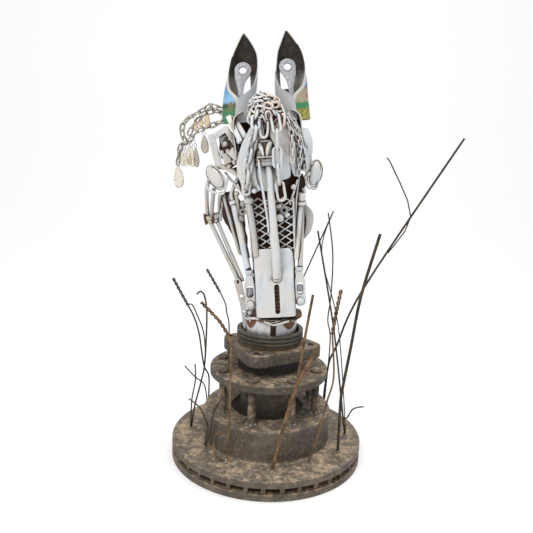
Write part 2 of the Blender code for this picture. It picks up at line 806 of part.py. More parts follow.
def make_cheeks():
    """The struts, tubes and the engine valve on both cheeks."""
    thin = 0.6 * STRUT_RADIUS
    ring = 1.3 * STRUT_RADIUS
    left = [(-40, -37, 89), (-42, -34, 92), (-59, -4, 189), (-59.5, -3.5, 189.5)]
    left += [(-60, -3, 194), (-60, -3, 194.5), (-62, -1, 208), (-46, -8, 238)]
    radii = [STRUT_RADIUS, STRUT_RADIUS, STRUT_RADIUS, ring, ring, thin, thin, thin]
    finish(rods("cheek_strut_left", HEAD, [(left, radii)], 8), "white")

    front = SKULL_FRONT - SHEET / 2 - MESH_THICKNESS - 2 * GAP - VALVE_RADIUS
    disc = 1.45 * VALVE_RADIUS
    top = front + VALVE_RADIUS - disc
    valve = [(-34.5, top, 206), (-34, top, 199), (-33.8, top, 197), (-33.6, top, 194)]
    valve += [(-33.5, top, 192), (-27, front, 149), (-24, front, NOSE_ROWS[-1][0] + 2 * GAP)]
    radii = [0.4 * disc, disc, disc, VALVE_RADIUS, VALVE_RADIUS, VALVE_RADIUS, VALVE_RADIUS]
    finish(rods("engine_valve_left", HEAD, [(valve, radii)], 8), "valve")

    washer = 2.2 * CHEEK_TUBE_RADIUS
    ring = 1.55 * CHEEK_TUBE_RADIUS
    right = [(47, -12, 203), (46, -13, 191), (45.8, -13, 190.5), (45.5, -14, 186)]
    right += [(45.4, -14, 185.5), (34.5, -34, 102)]
    radii = [ring, ring, washer, washer, CHEEK_TUBE_RADIUS, CHEEK_TUBE_RADIUS]
    finish(rods("cheek_strut_right", HEAD, [(right, radii)], 8), "white")
    second = [(49, -2, 186), (46, -12, 140), (41, -37, 90)]
    finish(rods("cheek_tube_right", HEAD, [(second, 0.85 * CHEEK_TUBE_RADIUS)], 6), "white")


def make_jaw():
    """Jaw of welded pipes on the left cheek, with its hub, bar and strap."""
    hub = [(-112, 46, 162), (-86, 46, 166)]
    outer = [(-96, 4, 233), (-104, 20, 214), (-109, 45, 166)]
    inner = [(-91, 6, 214), (-102, 44, 166)]
    near = [(-79, -1, 207), (-84, 20, 196), (-88, 44, 168)]
    low_outer = [(-106, 45, 160), (-57, -14, 62)]
    low_inner = [(-94, 44, 161), (-52, -14, 66)]
    pipes = [(hub, JAW_HUB_RADIUS)]
    pipes += [(path, JAW_PIPE_RADIUS) for path in (outer, inner, near, low_outer, low_inner)]
    finish(fused("jaw_frame_left", HEAD, pipes, 6), "white")

    bar = [(-60, 74), (-66, 68), (-58, 27), (-55, -14), (-47, -14), (-48, 27), (-53, 66)]
    plate = object_from(slab(bar, 4.0, upright(-20.0)), "jaw_bar_left", HEAD)
    holes = []
    for u, w in ((-60.0, 66.0), (-55.0, 42.0)):
        hole = [(3.0 * math.cos(a) + u, 3.0 * math.sin(a) + w) for a in
                (math.tau * step / 6 for step in range(6))]
        holes.append(object_from(slab(hole, 12.0, upright(-24.0)), "bar_hole", HEAD))
    boolean(plate, holes, "DIFFERENCE")
    finish(plate, "white")

    strap_path = [(-58, 2, 196), (-71, 8, 196), (-80, 22, 186), (-85, 34, 172), (-88, 40, 160)]
    def place(across, along):
        u, v, w = between(strap_path, along)
        half = 6.0 - 3.5 * along
        lean = 0.3 + 0.7 * along
        return Vector((u + (across - 0.5) * 2 * half * lean, v, w + (across - 0.5) * 2 * half))
    finish(object_from(sheet(1, 5, place, 2.0), "jaw_strap_left", HEAD), "white")

    leaf = [(46, 184), (55, 183), (64, 174), (67, 163), (65, 150), (60, 138), (47, 124), (55, 158)]
    finish(object_from(slab(leaf, 2.0, upright(0.0)), "leaf_plate_right", HEAD), "white")


# Forehead, temples and eyes


def brow_plane(side):
    """Plane of a forehead plate, which falls back towards the temple."""
    return upright(BROW_FRONT, side * math.atan(BROW_SLOPE))


def make_forehead():
    """The three plates round the opening of the forehead."""
    left = [(-8, 320), (-14, 326), (-31, 298), (-46, 267), (-50, 241), (-39, 216), (-24, 208)]
    left += [(-14, 214), (-21, 232), (-22, 262), (-17, 280), (-5, 290)]
    spread = 1.0 / math.cos(math.atan(BROW_SLOPE))
    left = [(u * spread, w) for u, w in left]
    finish(object_from(slab(left, PLATE, brow_plane(-1)), "forehead_plate_left", HEAD), "white")
    right = [(4, 292), (10, 278), (10, 232), (20, 226), (32, 231), (34, 292), (26, 320), (6, 320)]
    right = [(u * spread, w) for u, w in right]
    finish(object_from(slab(right, PLATE, brow_plane(1)), "forehead_plate_right", HEAD), "white")
    oval = []
    for step in range(16):
        angle = math.tau * step / 16
        oval.append((44.0 + 9.5 * math.cos(angle), 262.0 + 32.0 * math.sin(angle)))
    plate = object_from(slab(oval, PLATE, brow_plane(1)), "oval_plate_right", HEAD)
    slots = []
    for height in (258.0, 276.0):
        slot = [(41.0, height - 4), (44.0, height - 4), (44.0, height + 4), (41.0, height + 4)]
        slots.append(object_from(slab(slot, 20.0, brow_plane(1) @ Matrix.Translation((0, 0, -9))),
                                 "slot", HEAD))
    boolean(plate, slots, "DIFFERENCE")
    finish(plate, "white")


def eye_axes(top, bottom, outward):
    """Long axis, cross axis and facing of an eye, from its ends and its outlook."""
    along = (Vector(top) - Vector(bottom)).normalized()
    face = Vector(outward)
    face = (face - along * face.dot(along)).normalized()
    return along, along.cross(face), face


def make_eye(side, centre, top, bottom, frame_rod):
    """Spoon-bowl eye with the wire round it and the bent rod that frames it."""
    along, across, face = eye_axes(top, bottom, (side * 0.6, -0.8, 0.1))
    axes = Matrix((across, along, face)).transposed().to_4x4()
    lay = Matrix.Translation(centre) @ axes
    dome = bmesh.new()
    bmesh.ops.create_uvsphere(dome, u_segments=10, v_segments=6, radius=1.0)
    low = [vert for vert in dome.verts if vert.co.z < -0.1]
    bmesh.ops.delete(dome, geom=low, context="VERTS")
    rim = [edge for edge in dome.edges if edge.is_boundary]
    bmesh.ops.contextual_create(dome, geom=rim)
    bmesh.ops.scale(dome, vec=(EYE_HALF_WIDTH, EYE_HALF_LENGTH, EYE_BULGE), verts=dome.verts)
    bmesh.ops.transform(dome, matrix=lay, verts=dome.verts)
    finish(object_from(dome, "eye_left" if side < 0 else "eye_right", HEAD), "white")

    ring = []
    for step in range(10):
        angle = math.tau * step / 10
        x = (EYE_HALF_WIDTH + EYE_WIRE_RADIUS + 2 * GAP) * math.cos(angle)
        y = (EYE_HALF_LENGTH + EYE_WIRE_RADIUS + 2 * GAP) * math.sin(angle)
        ring.append(lay @ Vector((x, y, 0.8)))
    name = "eye_frame_left" if side < 0 else "eye_frame_right"
    wire = rods(name, HEAD, [(ring, EYE_WIRE_RADIUS)], 4, True)
    rod = rods("rod", HEAD, [(frame_rod, EYE_WIRE_RADIUS)], 4)
    boolean(wire, [rod], "UNION")
    finish(wire, "white")


def bar_between(start, end, wide, thick):
    """A square-cornered bar from one point to another, flat side to the front."""
    start = Vector(start)
    end = Vector(end)
    run = end - start
    side = Vector((0.0, 1.0, 0.0)).cross(run).normalized()
    back = run.cross(side).normalized()
    bm = bmesh.new()
    bmesh.ops.create_cube(bm, size=1.0)
    bmesh.ops.scale(bm, vec=(wide, thick, run.length), verts=bm.verts)
    axes = Matrix((side, back, run.normalized())).transposed().to_4x4()
    bmesh.ops.transform(bm, matrix=Matrix.Translation((start + end) / 2) @ axes, verts=bm.verts)
    return bm


def make_temples():
    """Angle bracket, square tubes and bars on the temples."""
    first = object_from(bar_between((-59, -18, 325), (-41, -33, 285), SQUARE_TUBE, SQUARE_TUBE),
                        "temple_tubes", HEAD)
    second = object_from(bar_between((-51, -16, 323), (-33, -31, 290), SQUARE_TUBE, SQUARE_TUBE),
                         "tube", HEAD)
    boolean(first, [second], "UNION")
    finish(first, "white")
    outline = [(-84, 300), (-79, 292), (-65, 301), (-53, 280), (-46, 284), (-60, 310), (-64, 312)]
    finish(object_from(slab(outline, 3.0, upright(-22.0)), "temple_bracket", HEAD), "white")
    brow = [(-80, 0, 250), (-64, -10, 246), (-44, -27, 232)]
    finish(rods("brow_tube_left", HEAD, [(brow, 4.2)], 6), "rust")
    bar = bar_between((-88, -14, 300), (-79, -4, 248), 11.0, 3.0)
    finish(object_from(bar, "temple_bar_left", HEAD), "white")
    def place(across, up):
        u, w = between([(63, 238), (68, 262), (69, 284), (63, 302)], up)
        return Vector((u - 14.0 * (1.0 - across) ** 2, -2.0 - 24.0 * (1.0 - across), w))
    finish(object_from(sheet(3, 3, place, 2.0), "temple_cover_right", HEAD), "white")


# Ears


def ear_point(side, across, up):
    """A point of the rolled ear sheet; the inner lapel crosses over the outer one."""
    height, centre, radius, reach = between(EAR_ROWS[side], up)
    angle = math.radians((2.0 * across - 1.0) * reach)
    inward = -side * angle
    step = EAR_LAPEL_STEP * max(0.0, inward - math.pi / 2) / (math.pi / 2) * min(1.0, radius / 20.0)
    swell = radius + step
    return Vector((
        centre + swell * math.sin(angle),
        EAR_BACK + swell * EAR_DEPTH * math.cos(angle),
        height,
    ))


def make_ear(side):
    """Rolled sheet ear and the lever that stands in it."""
    word = "left" if side < 0 else "right"
    rows = len(EAR_ROWS[side]) - 1
    roll = sheet(10, rows, lambda across, up: ear_point(side, across, up), EAR_SHEET)
    ear = object_from(roll, f"ear_sheet_{word}", HEAD)
    near, far, low, high = EAR_WINDOW[side]
    slope = (far - near) / 4
    window = [(near, low), (far, low), (far, high - slope), (far - slope, high)]
    window += [(near + slope, high), (near, high - slope)]
    depth = 2 * EAR_LAPEL_STEP + EAR_ROWS[side][0][2]
    hole = slab(window, depth, upright(2 * EAR_BACK))
    boolean(ear, [object_from(hole, "ear_window", HEAD)], "DIFFERENCE")
    finish(ear, "ear")
    top = EAR_LEVER_TOPS[side]
    foot = Vector(EAR_LEVER_FEET[side])
    run = foot.normalized()
    out = Vector((-run.y, run.x))
    outline = []
    for step in range(9):
        angle = math.pi * step / 8
        spot = TONGUE_RADIUS * (out * math.cos(angle) - run * math.sin(angle))
        outline.append((spot.x, spot.y))
    outline.append(tuple(foot - out * TONGUE_FOOT))
    outline.append(tuple(foot + out * TONGUE_FOOT))
    plane = facing(top, (1.0, 0.0, 0.0), (0.0, EAR_LEVER_LEAN, 1.0))
    tongue = object_from(slab(outline, TONGUE_THICKNESS, plane), f"ear_lever_{word}", HEAD)
    hole = []
    for step in range(8):
        angle = math.tau * step / 8
        hole.append((TONGUE_HOLE_RADIUS * math.cos(angle), TONGUE_HOLE_RADIUS * math.sin(angle)))
    deeper = Matrix.Translation((0.0, 0.0, -TONGUE_THICKNESS))
    cutter = slab(hole, 3 * TONGUE_THICKNESS, plane @ deeper)
    boolean(tongue, [object_from(cutter, "hole", HEAD)], "DIFFERENCE")
    finish(tongue, "valve")


# Chains and glass


def make_chains():
    """Forelock of heavy chain over the poll, and the mane of fine chain."""
    strand = [(-36, -48, 209), (-34, -50, 233), (-29, -52, 262), (-22, -55, 286), (-17, -58, 308)]
    strand += [(-15, -48, 328), (-5, -34, 346), (8, -30, 350)]
    links = chain_runs(strand, HEAVY_PITCH, HEAVY_WIRE, HEAVY_WIDTH, HEAVY_TURN)
    finish(fused("forelock_chain_left", HEAD, links, 4, True), "white")
    strand = [(17, -56, 198), (14, -62, 230), (13, -64, 260), (14, -62, 300), (10, -52, 326)]
    strand += [(2, -38, 338)]
    links = chain_runs(strand, LONG_PITCH, LONG_WIRE, LONG_WIDTH, 0.0)
    finish(fused("forelock_chain_right", HEAD, links, 4, True), "white")
    mane = [(-60, -6, 322), (-91, 0, 312), (-109, 0, 306), (-124, 0, 292), (-138, 0, 283)]
    mane.append((-145, 0, 256))
    links = chain_runs(mane, FINE_PITCH, FINE_WIRE, FINE_WIDTH, FINE_TURN)
    finish(fused("mane_chain", HEAD, links, 4, True), "silver")


def make_drop():
    """The long pear-shaped glass drop at the end of the mane."""
    foot = 219.0
    profile = [
        (0.0, foot),
        (0.55 * DROP_RADIUS, foot + 0.06 * DROP_LENGTH),
        (DROP_RADIUS, foot + 0.35 * DROP_LENGTH),
        (0.7 * DROP_RADIUS, foot + 0.75 * DROP_LENGTH),
        (0.2 * DROP_RADIUS, foot + DROP_LENGTH),
        (0.0, foot + DROP_LENGTH),
    ]
    finish(object_from(turned(profile, 8, (-145.0, 0.0)), "glass_drop", HEAD), "glass")


# Wires like grass round the base


def weld(place):
    """A short blob of weld at a wire's foot."""
    x, y = place
    points = [(x, y, DISC_HEIGHT + GAP), (x, y, DISC_HEIGHT + 2.0), (x, y, DISC_HEIGHT + 4.5)]
    return points, [WELD_RADIUS, 0.8 * WELD_RADIUS, 0.4 * WELD_RADIUS]


def make_bundle(name, kind, turn, share, runs, sides=4):
    """Wires from one weld; a run is its offsets from the weld's foot, and its radius.

    The foot is a share of the way from the hat to the rim of the disc.
    """
    near = HAT_RADIUS + RING_EDGE
    x, y = polar(near + share * (DISC_RADIUS - RING_EDGE - near), turn)
    placed = [weld((x, y))]
    for points, radius in runs:
        placed.append(([(x + a, y + b, DISC_HEIGHT + c) for a, b, c in points], radius))
    finish(fused(name, BASE, placed, sides), kind)


def make_wires():
    """Bent wires and rods that stand on the disc, fused where they share a weld."""
    thin = THIN_WIRE_RADIUS
    grass = GRASS_WIRE_RADIUS
    first = [(1, 0, 1), (5, -35, 68), (1, -85, 110), (-8, -85, 166), (-17, -85, 195)]
    first += [(-28, -85, 216), (-53, -85, 261)]
    second = [(-1, 0, 1), (-3, -35, 52), (-16, -65, 79), (-35, -65, 99)]
    make_bundle("wire_left_rear", "wire", 137.1, 0.962, [(first, grass), (second, thin)])
    first = [(0, 1, 1), (5, -1, 39), (16, -3, 87), (22, -3, 123), (24, -3, 203), (20, -3, 238)]
    first += [(12, -3, 246), (7, -3, 240)]
    second = [(-1, -1, 1), (2, -13, 57), (9, -23, 98), (8, -23, 126)]
    make_bundle("wire_left_side", "wire", 178.7, 0.436, [(first, grass), (second, thin)])
    first = [(-1, 0, 1), (5, -6, 35), (2, -10, 50), (-7, -15, 74), (-25, -15, 89)]
    second = [(1, -1, 1), (9, -10, 30), (15, -15, 68), (27, -22, 93)]
    make_bundle("wire_left_front", "wire", -148.8, 0.125, [(first, thin), (second, thin)])
    first = [(1, 0, 1), (4, -6, 72), (4, -6, 122), (4, -6, 188), (0, -6, 204), (-14, -6, 226)]
    first += [(-42, -6, 255)]
    second = [(-1, -1, 1), (-10, -9, 5), (-16, -11, 15), (-19, -11, 42), (-5, -13, 57)]
    make_bundle("wire_left_rusty", "rust", -121.6, 0.137, [(first, grass), (second, thin)])
    first = [(-1, 1, 1), (5, -3, 91), (18, -5, 131), (60, -5, 241), (213, -5, 509)]
    second = [(98, -5, 306), (133, -5, 372), (96, -9, 453), (83, -11, 472)]
    third = [(1, -1, 1), (5, -11, 138), (-2, -15, 182), (1, -15, 226), (0, -15, 302)]
    third += [(-12, -15, 374)]
    make_bundle("rod_right_long", "wire", 42.1, 0.687,
                [(first, 1.4 * grass), (second, thin), (third, thin)])
    first = [(0, 0, 1), (-3, -20, 99), (-1, -22, 124), (7, -22, 187), (17, -22, 267)]
    first += [(39, -22, 363)]
    make_bundle("rod_right_thick", "wire", -26.2, 0.467, [(first, 1.6 * grass)], 6)
    first = [(-1, -1, 1), (-20, -53, 103), (-30, -53, 167), (-38, -53, 212), (-51, -53, 274)]
    first += [(-70, -53, 360)]
    second = [(0, 0, 1), (-9, -23, 40), (-4, -38, 49), (4, -43, 67), (21, -43, 72)]
    make_bundle("wire_right", "wire", 1.3, 0.588, [(first, grass), (second, thin)])
    first = [(0, 0, 1), (11, -5, 45), (23, -7, 108), (31, -7, 149), (25, -7, 216)]
    first += [(29, -7, 250), (34, -7, 283)]
    make_bundle("wire_right_rusty", "rust", -57.0, 0.28, [(first, grass)])
    first = [(0, 0, 1), (11, 1, 54), (31, 2, 135), (61, 2, 201)]
    second = [(31, 4, 132), (34, 9, 154), (40, 9, 207), (49, 9, 276)]
    make_bundle("rod_front", "rust", -85.0, 0.38,
                [(first, THICK_ROD_RADIUS), (second, 0.8 * THICK_ROD_RADIUS)], 6)


def centre_on_floor():
    """Move both frames sideways until the origin is below the middle of the part."""
    bpy.context.view_layer.update()
    corners = [piece.matrix_world @ Vector(c) for piece in BUILT for c in piece.bound_box]
    for side in range(2):
        middle = (min(c[side] for c in corners) + max(c[side] for c in corners)) / 2
        BASE.location[side] -= middle
        HEAD.location[side] -= middle


make_brake_disc()
make_studs()
make_wheel_hub()
make_bearing_carrier()
make_collar()
make_lip_plate()
make_chin_cup()
make_nose_plate()
make_skull_shell()
make_nose_mesh()
make_motor()
make_nose_tube()
make_nostril_bracket("nostril_bracket_left", -1, 25.0)
make_nostril_bracket("nostril_bracket_right", 1, 27.0)
make_cheeks()
make_jaw()
make_forehead()
make_eye(-1, (-86, 0, 233), (-95, 0, 249), (-77, 0, 215),
         [(-101, 0, 223), (-99, 0, 215), (-78, -5, 207), (-74, -8, 209), (-66, -10, 231)])
make_eye(1, (71, 0, 232), (74, 0, 250), (66, 0, 212),
         [(56, -10, 228), (58, -8, 214), (60, -5, 210), (72, 0, 208), (79, 0, 231)])
make_temples()
make_ear(-1)
make_ear(1)
make_chains()
make_drop()
make_wires()
centre_on_floor()
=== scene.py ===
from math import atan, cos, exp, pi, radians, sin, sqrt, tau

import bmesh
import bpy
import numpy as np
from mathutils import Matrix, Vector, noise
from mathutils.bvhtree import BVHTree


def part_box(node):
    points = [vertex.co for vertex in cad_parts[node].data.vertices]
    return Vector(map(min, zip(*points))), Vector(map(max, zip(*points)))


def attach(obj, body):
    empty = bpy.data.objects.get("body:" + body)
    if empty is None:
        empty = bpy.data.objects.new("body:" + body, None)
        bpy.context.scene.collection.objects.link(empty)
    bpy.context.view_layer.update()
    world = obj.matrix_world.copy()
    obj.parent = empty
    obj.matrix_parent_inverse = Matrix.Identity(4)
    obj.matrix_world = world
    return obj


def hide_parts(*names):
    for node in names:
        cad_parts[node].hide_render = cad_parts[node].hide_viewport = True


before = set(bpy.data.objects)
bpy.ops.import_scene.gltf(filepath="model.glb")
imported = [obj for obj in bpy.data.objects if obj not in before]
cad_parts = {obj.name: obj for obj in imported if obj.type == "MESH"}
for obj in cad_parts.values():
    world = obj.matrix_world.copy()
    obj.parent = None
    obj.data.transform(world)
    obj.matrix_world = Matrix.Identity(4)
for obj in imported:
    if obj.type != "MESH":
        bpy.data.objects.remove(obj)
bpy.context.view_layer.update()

# %% [markdown]
# # A horse head of scrap steel
# The real thing is welded from brake parts, sheet, pipe, chain and wire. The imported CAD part
# gives every piece its place and size. This script dresses it: round things get round,
# chains get their links, and each metal gets its paint, rust or dust.
#
# The base and the head each have a frame of their own in millimetres. A shape is modelled
# there, and one matrix then lays its mesh in the part's frame in metres, so that a finished
# piece's object sits at the origin and a pattern on Object coordinates stays put.

MM = 0.001
DISC_LOW, DISC_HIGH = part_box("brake_disc")
AXIS = (DISC_LOW + DISC_HIGH) / 2
HEAD_LEAN = radians(4.9)
HEAD_SHIFT = 10.0
HEAD_FOOT = 239.6
SCALE = Matrix.Scale(MM, 4)
at = Matrix.Translation
BASE = at((AXIS.x, AXIS.y, 0.0)) @ SCALE
PIECES = []
GOLDEN_ANGLE = pi * (3.0 - sqrt(5.0))


def about(axis, angle):
    """A turn about an axis of the frame."""
    return Matrix.Rotation(angle, 4, axis)


HEAD = BASE @ at((HEAD_SHIFT, 0.0, HEAD_FOOT)) @ about("Y", -HEAD_LEAN)
print("disc axis at", round(AXIS.x, 4), "m, CAD nodes", len(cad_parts))

# %% [markdown]
# ## Finishes as expressions
# Shader maths reads best as a formula. `Value` wraps one socket, and its operators add Math
# nodes, so `1 - mask` works. `Finish` makes a material and every other node through one
# method. A number that is the same all over goes straight on the shader's own socket.

# %% Sockets as values
class Value:
    """A socket whose sums and products are Math nodes."""

    def __init__(self, finish, socket):
        self.finish = finish
        self.socket = socket

    def math(self, operation, first, second):
        return self.finish.node("ShaderNodeMath", {"operation": operation}, {0: first, 1: second})

    def __add__(self, other):
        return self.math("ADD", self, other)

    def __radd__(self, other):
        return self.math("ADD", other, self)

    def __sub__(self, other):
        return self.math("SUBTRACT", self, other)

    def __rsub__(self, other):
        return self.math("SUBTRACT", other, self)

    def __mul__(self, other):
        return self.math("MULTIPLY", self, other)

    def __rmul__(self, other):
        return self.math("MULTIPLY", other, self)

    def most(self, other):
        return self.math("MAXIMUM", self, other)


# %% Materials
class Finish:
    """One material, built node by node."""

    def __init__(self, name, **constants):
        self.material = bpy.data.materials.new(name)
        self.material.use_nodes = True
        self.tree = self.material.node_tree
        self.shader = self.tree.nodes["Principled BSDF"]
        self.place = self.node("ShaderNodeTexCoord", {}, {}, "Object")
        for socket, number in constants.items():
            self.shader.inputs[socket.replace("_", " ")].default_value = number

    def node(self, kind, settings, inputs, output=0):
        made = self.tree.nodes.new(kind)
        for key, value in settings.items():
            setattr(made, key, value)
        for key, value in inputs.items():
            if isinstance(value, Value):
                self.tree.links.new(value.socket, made.inputs[key])
            else:
                made.inputs[key].default_value = value
        return Value(self, made.outputs[output])

    def cloud(self, scale, detail=4.0, roughness=0.55, stretch=(1, 1, 1), shift=(0, 0, 0)):
        """Noise from 0 to 1; scale is in features per metre."""
        where = self.node("ShaderNodeMapping", {}, {0: self.place, 1: shift, 3: stretch})
        values = {"Vector": where, "Scale": scale, "Detail": detail, "Roughness": roughness}
        return self.node("ShaderNodeTexNoise", {}, values, 0)

    def cells(self, scale):
        """Distance to the nearest of many scattered points."""
        return self.node("ShaderNodeTexVoronoi", {}, {"Vector": self.place, "Scale": scale}, 0)

    def ease(self, value, low, high):
        """A soft step from 0 at low to 1 at high."""
        ends = {0: value, 1: low, 2: high}
        return self.node("ShaderNodeMapRange", {"interpolation_type": "SMOOTHSTEP"}, ends)

    def blend(self, share, first, second):
        """Two colours mixed by a share."""
        def colour(value):
            return value if isinstance(value, Value) else (*value, 1.0)
        inputs = {0: share, 6: colour(first), 7: colour(second)}
        return self.node("ShaderNodeMix", {"data_type": "RGBA"}, inputs, 2)

    def stored(self, name):
        return self.node("ShaderNodeAttribute", {"attribute_name": name}, {}, "Fac")

    def upward(self):
        normal = self.node("ShaderNodeNewGeometry", {}, {}, "Normal")
        return self.node("ShaderNodeSeparateXYZ", {}, {0: normal}, 2)

    def wear(self, colour, roughness=None, metallic=None, bump=None, depth=0.3):
        """Connect what changes over the surface; depth is the bump's height in millimetres."""
        self.tree.links.new(colour.socket, self.shader.inputs["Base Color"])
        if roughness is not None:
            self.tree.links.new(roughness.socket, self.shader.inputs["Roughness"])
        if metallic is not None:
            self.tree.links.new(metallic.socket, self.shader.inputs["Metallic"])
        if bump is not None:
            relief = self.node("ShaderNodeBump", {}, {"Height": bump, "Distance": depth * MM})
            self.tree.links.new(relief.socket, self.shader.inputs["Normal"])
        return self.material


# %% [markdown]
# ## The finishes
# Off-white paint was brushed over everything in the head, and brown rust grew where the
# brush missed. Each painted or iron piece therefore carries a `shelter` attribute, worked out
# near the end from how many short rays are blocked, and rust, grime and painted shade of
# corners and creases gather where it is high. Its twin `gloom` looks further and darkens whole
# hollows as painted shade. The base is bare cast iron under ochre dust, which lies on the faces
# that look up and packs into the corners.

# %% Paint
def painted(name, cool, warm, rust_from, rust_to):
    finish = Finish(name, Metallic=0.0)
    shelter = finish.stored("shelter")
    gloom = finish.stored("gloom")
    tone = finish.ease(finish.cloud(22, 3), 0.38, 0.62)
    coat = finish.blend(tone, cool, warm)
    streak = finish.cloud(80, 4, 0.6, (1, 1, 0.25))
    coat = finish.blend(finish.ease(streak, 0.5, 0.72) * 0.4, coat, (0.36, 0.335, 0.30))
    grain = finish.cloud(300, 5, 0.65)
    # Painted shade: the coat turns dark brown-grey where shelter and gloom are high, in corners,
    # creases and hollows, and along the streaks as grime.
    grime_and_shade = finish.ease(shelter * 0.75 + gloom * 0.4 + (streak - 0.5) * 0.8, 0.14, 0.72)
    coat = finish.blend(grime_and_shade * 0.85, coat, (0.115, 0.092, 0.075))
    # Rust where the paint is gone, laid on most where shelter and gloom are high, so its dark brown
    # in corners and hollows is partly painted shade.
    bare = shelter + gloom * 0.25 + (finish.cloud(120, 6, 0.68, shift=(3, 1, 7)) - 0.5) * 1.5
    rust = finish.ease(bare, rust_from, rust_to)
    rust_tone = finish.blend(finish.ease(grain, 0.35, 0.7), (0.028, 0.018, 0.013),
                             (0.20, 0.095, 0.042))
    colour = finish.blend(rust, coat, rust_tone)
    rough = 0.42 + rust * 0.4 + (grain - 0.5) * 0.2
    bump = grain * 0.5 + streak + rust * (grain - 0.8)
    return finish.wear(colour, rough, None, bump, 0.28)


WHITE = painted("white_paint", (0.60, 0.64, 0.68), (0.66, 0.635, 0.60), 0.70, 0.95)
WORN = painted("worn_paint", (0.50, 0.51, 0.52), (0.54, 0.49, 0.42), 0.48, 0.80)
BLUSH = painted("pinkish_paint", (0.64, 0.60, 0.57), (0.64, 0.49, 0.41), 0.62, 0.88)

# %% Iron, rust and wire
def dusty_iron(name, dark, dust_amount, speckle, corners=0.75):
    finish = Finish(name)
    up = finish.upward()
    broad = finish.cloud(34, 5, 0.62)
    fine = finish.cloud(330, 5, 0.7)
    patch = finish.cloud(85, 6, 0.7, shift=(5, 2, 1))
    metal = finish.blend(finish.ease(broad, 0.35, 0.7), dark, tuple(c * 1.9 for c in dark))
    rust = finish.ease(patch, 0.56, 0.72)
    metal = finish.blend(rust * 0.65, metal, (0.17, 0.085, 0.04))
    thick = finish.ease(broad * 0.35 + patch * 0.65, 0.47, 0.56)
    dust_tone = finish.blend(thick, (0.185, 0.155, 0.12), (0.50, 0.36, 0.225))
    dust_tone = finish.blend(finish.ease(fine, 0.42, 0.60), dust_tone, (0.30, 0.24, 0.17))
    lying = finish.ease(up, 0.1, 0.9) * (thick * 0.65 + finish.ease(broad, 0.40, 0.60) * 0.3)
    thin = finish.ease(up, 0.1, 0.9) * 0.42
    clinging = finish.ease(finish.cloud(190, 6, 0.75), 0.44, 0.68) * 0.5
    fleck = finish.ease(finish.cloud(175, 5, 0.75, shift=(9, 4, 2)), 0.44, 0.58)
    dust = (lying * 0.8 + thin + clinging) * dust_amount * (0.45 + fleck * 0.75)
    colour = finish.blend(dust, metal, dust_tone)
    dots = 1 - finish.ease(finish.cells(240), 0.10, 0.2)
    dots = dots * finish.ease(finish.cloud(60, 2), 0.42, 0.6)
    colour = finish.blend(dots * speckle, colour, (0.50, 0.42, 0.31))
    corner = finish.ease(finish.stored("shelter") + (patch - 0.5) * 0.9, 0.30, 0.58)
    ochre = finish.blend(fine, (0.13, 0.06, 0.025), (0.42, 0.24, 0.10))
    colour = finish.blend(corner * corners, colour, ochre)
    rough = 0.62 + dust * 0.25 + (fine - 0.5) * 0.25
    metallic = 0.45 - dust * 0.4
    return finish.wear(colour, rough, metallic, fine + patch * 1.5, 0.55)


DISC_IRON = dusty_iron("disc_iron", (0.078, 0.065, 0.051), 1.0, 0.5)
HUB_IRON = dusty_iron("hub_iron", (0.056, 0.047, 0.037), 0.74, 0.35)
BLACK_IRON = dusty_iron("boss_iron", (0.020, 0.019, 0.018), 0.12, 0.1)
COLLAR = dusty_iron("collar_metal", (0.042, 0.041, 0.034), 0.28, 0.05, 0.22)


def rusty(name, dark, light, metallic):
    finish = Finish(name, Metallic=metallic)
    broad = finish.cloud(55, 5, 0.65)
    fine = finish.cloud(420, 5, 0.7)
    colour = finish.blend(finish.ease(broad, 0.34, 0.66), dark, light)
    colour = finish.blend(finish.ease(fine, 0.6, 0.8) * 0.4, colour, (0.26, 0.12, 0.05))
    return finish.wear(colour, 0.6 + fine * 0.35, None, fine + broad, 0.35)


RUST = rusty("brown_rust", (0.05, 0.026, 0.017), (0.20, 0.085, 0.037), 0.1)
# Dark rust for what sits deep inside the head and the chin cup: rust, made darker as painted shade.
INNER_RUST_AND_SHADE = rusty("dark_rust_and_shade", (0.022, 0.012, 0.009), (0.085, 0.038, 0.02), 0.0)
WIRE = rusty("dark_wire", (0.035, 0.028, 0.023), (0.095, 0.068, 0.048), 0.45)
WIRE_RUST = rusty("ochre_wire", (0.060, 0.036, 0.020), (0.25, 0.135, 0.055), 0.2)
VALVE = rusty("grey_steel", (0.20, 0.205, 0.21), (0.42, 0.41, 0.39), 0.35)

PAINTS = {WHITE, WORN, BLUSH}
IRONS = {DISC_IRON, HUB_IRON, BLACK_IRON, COLLAR}

# %% Weld, tarnished chain, glass and thin sheet
def bright(name, light, dark, metallic, roughness):
    finish = Finish(name, Metallic=metallic)
    spots = finish.cloud(300, 4, 0.65)
    colour = finish.blend(finish.ease(spots, 0.35, 0.7), light, dark)
    return finish.wear(colour, roughness + spots * 0.25, None, spots, 0.2)


WELD = bright("weld_metal", (0.36, 0.35, 0.34), (0.12, 0.105, 0.09), 0.6, 0.3)
SILVER = bright("mane_metal", (0.58, 0.55, 0.49), (0.085, 0.065, 0.042), 0.6, 0.25)
LEVER = bright("lever_steel", (0.34, 0.355, 0.38), (0.21, 0.21, 0.215), 0.2, 0.38)


def cut_glass(name, tint):
    finish = Finish(name, Roughness=0.03, IOR=1.5, Transmission_Weight=0.88)
    finish.shader.inputs["Base Color"].default_value = (*tint, 1.0)
    return finish.material


CLEAR = cut_glass("clear_glass", (0.85, 0.79, 0.67))
AMBER = cut_glass("amber_glass", (0.78, 0.62, 0.42))
SMOKY = cut_glass("smoky_glass", (0.52, 0.47, 0.38))
SLOTS = {RUST: "rust", INNER_RUST_AND_SHADE: "rust", WIRE: "wire", WIRE_RUST: "rust", VALVE: "valve",
         LEVER: "valve", SILVER: "silver", WELD: "iron", COLLAR: "collar"}
SLOTS.update({finish: "white" for finish in PAINTS})
SLOTS.update({finish: "iron" for finish in IRONS - {COLLAR}})
SLOTS.update({finish: "glass" for finish in (CLEAR, AMBER, SMOKY)})

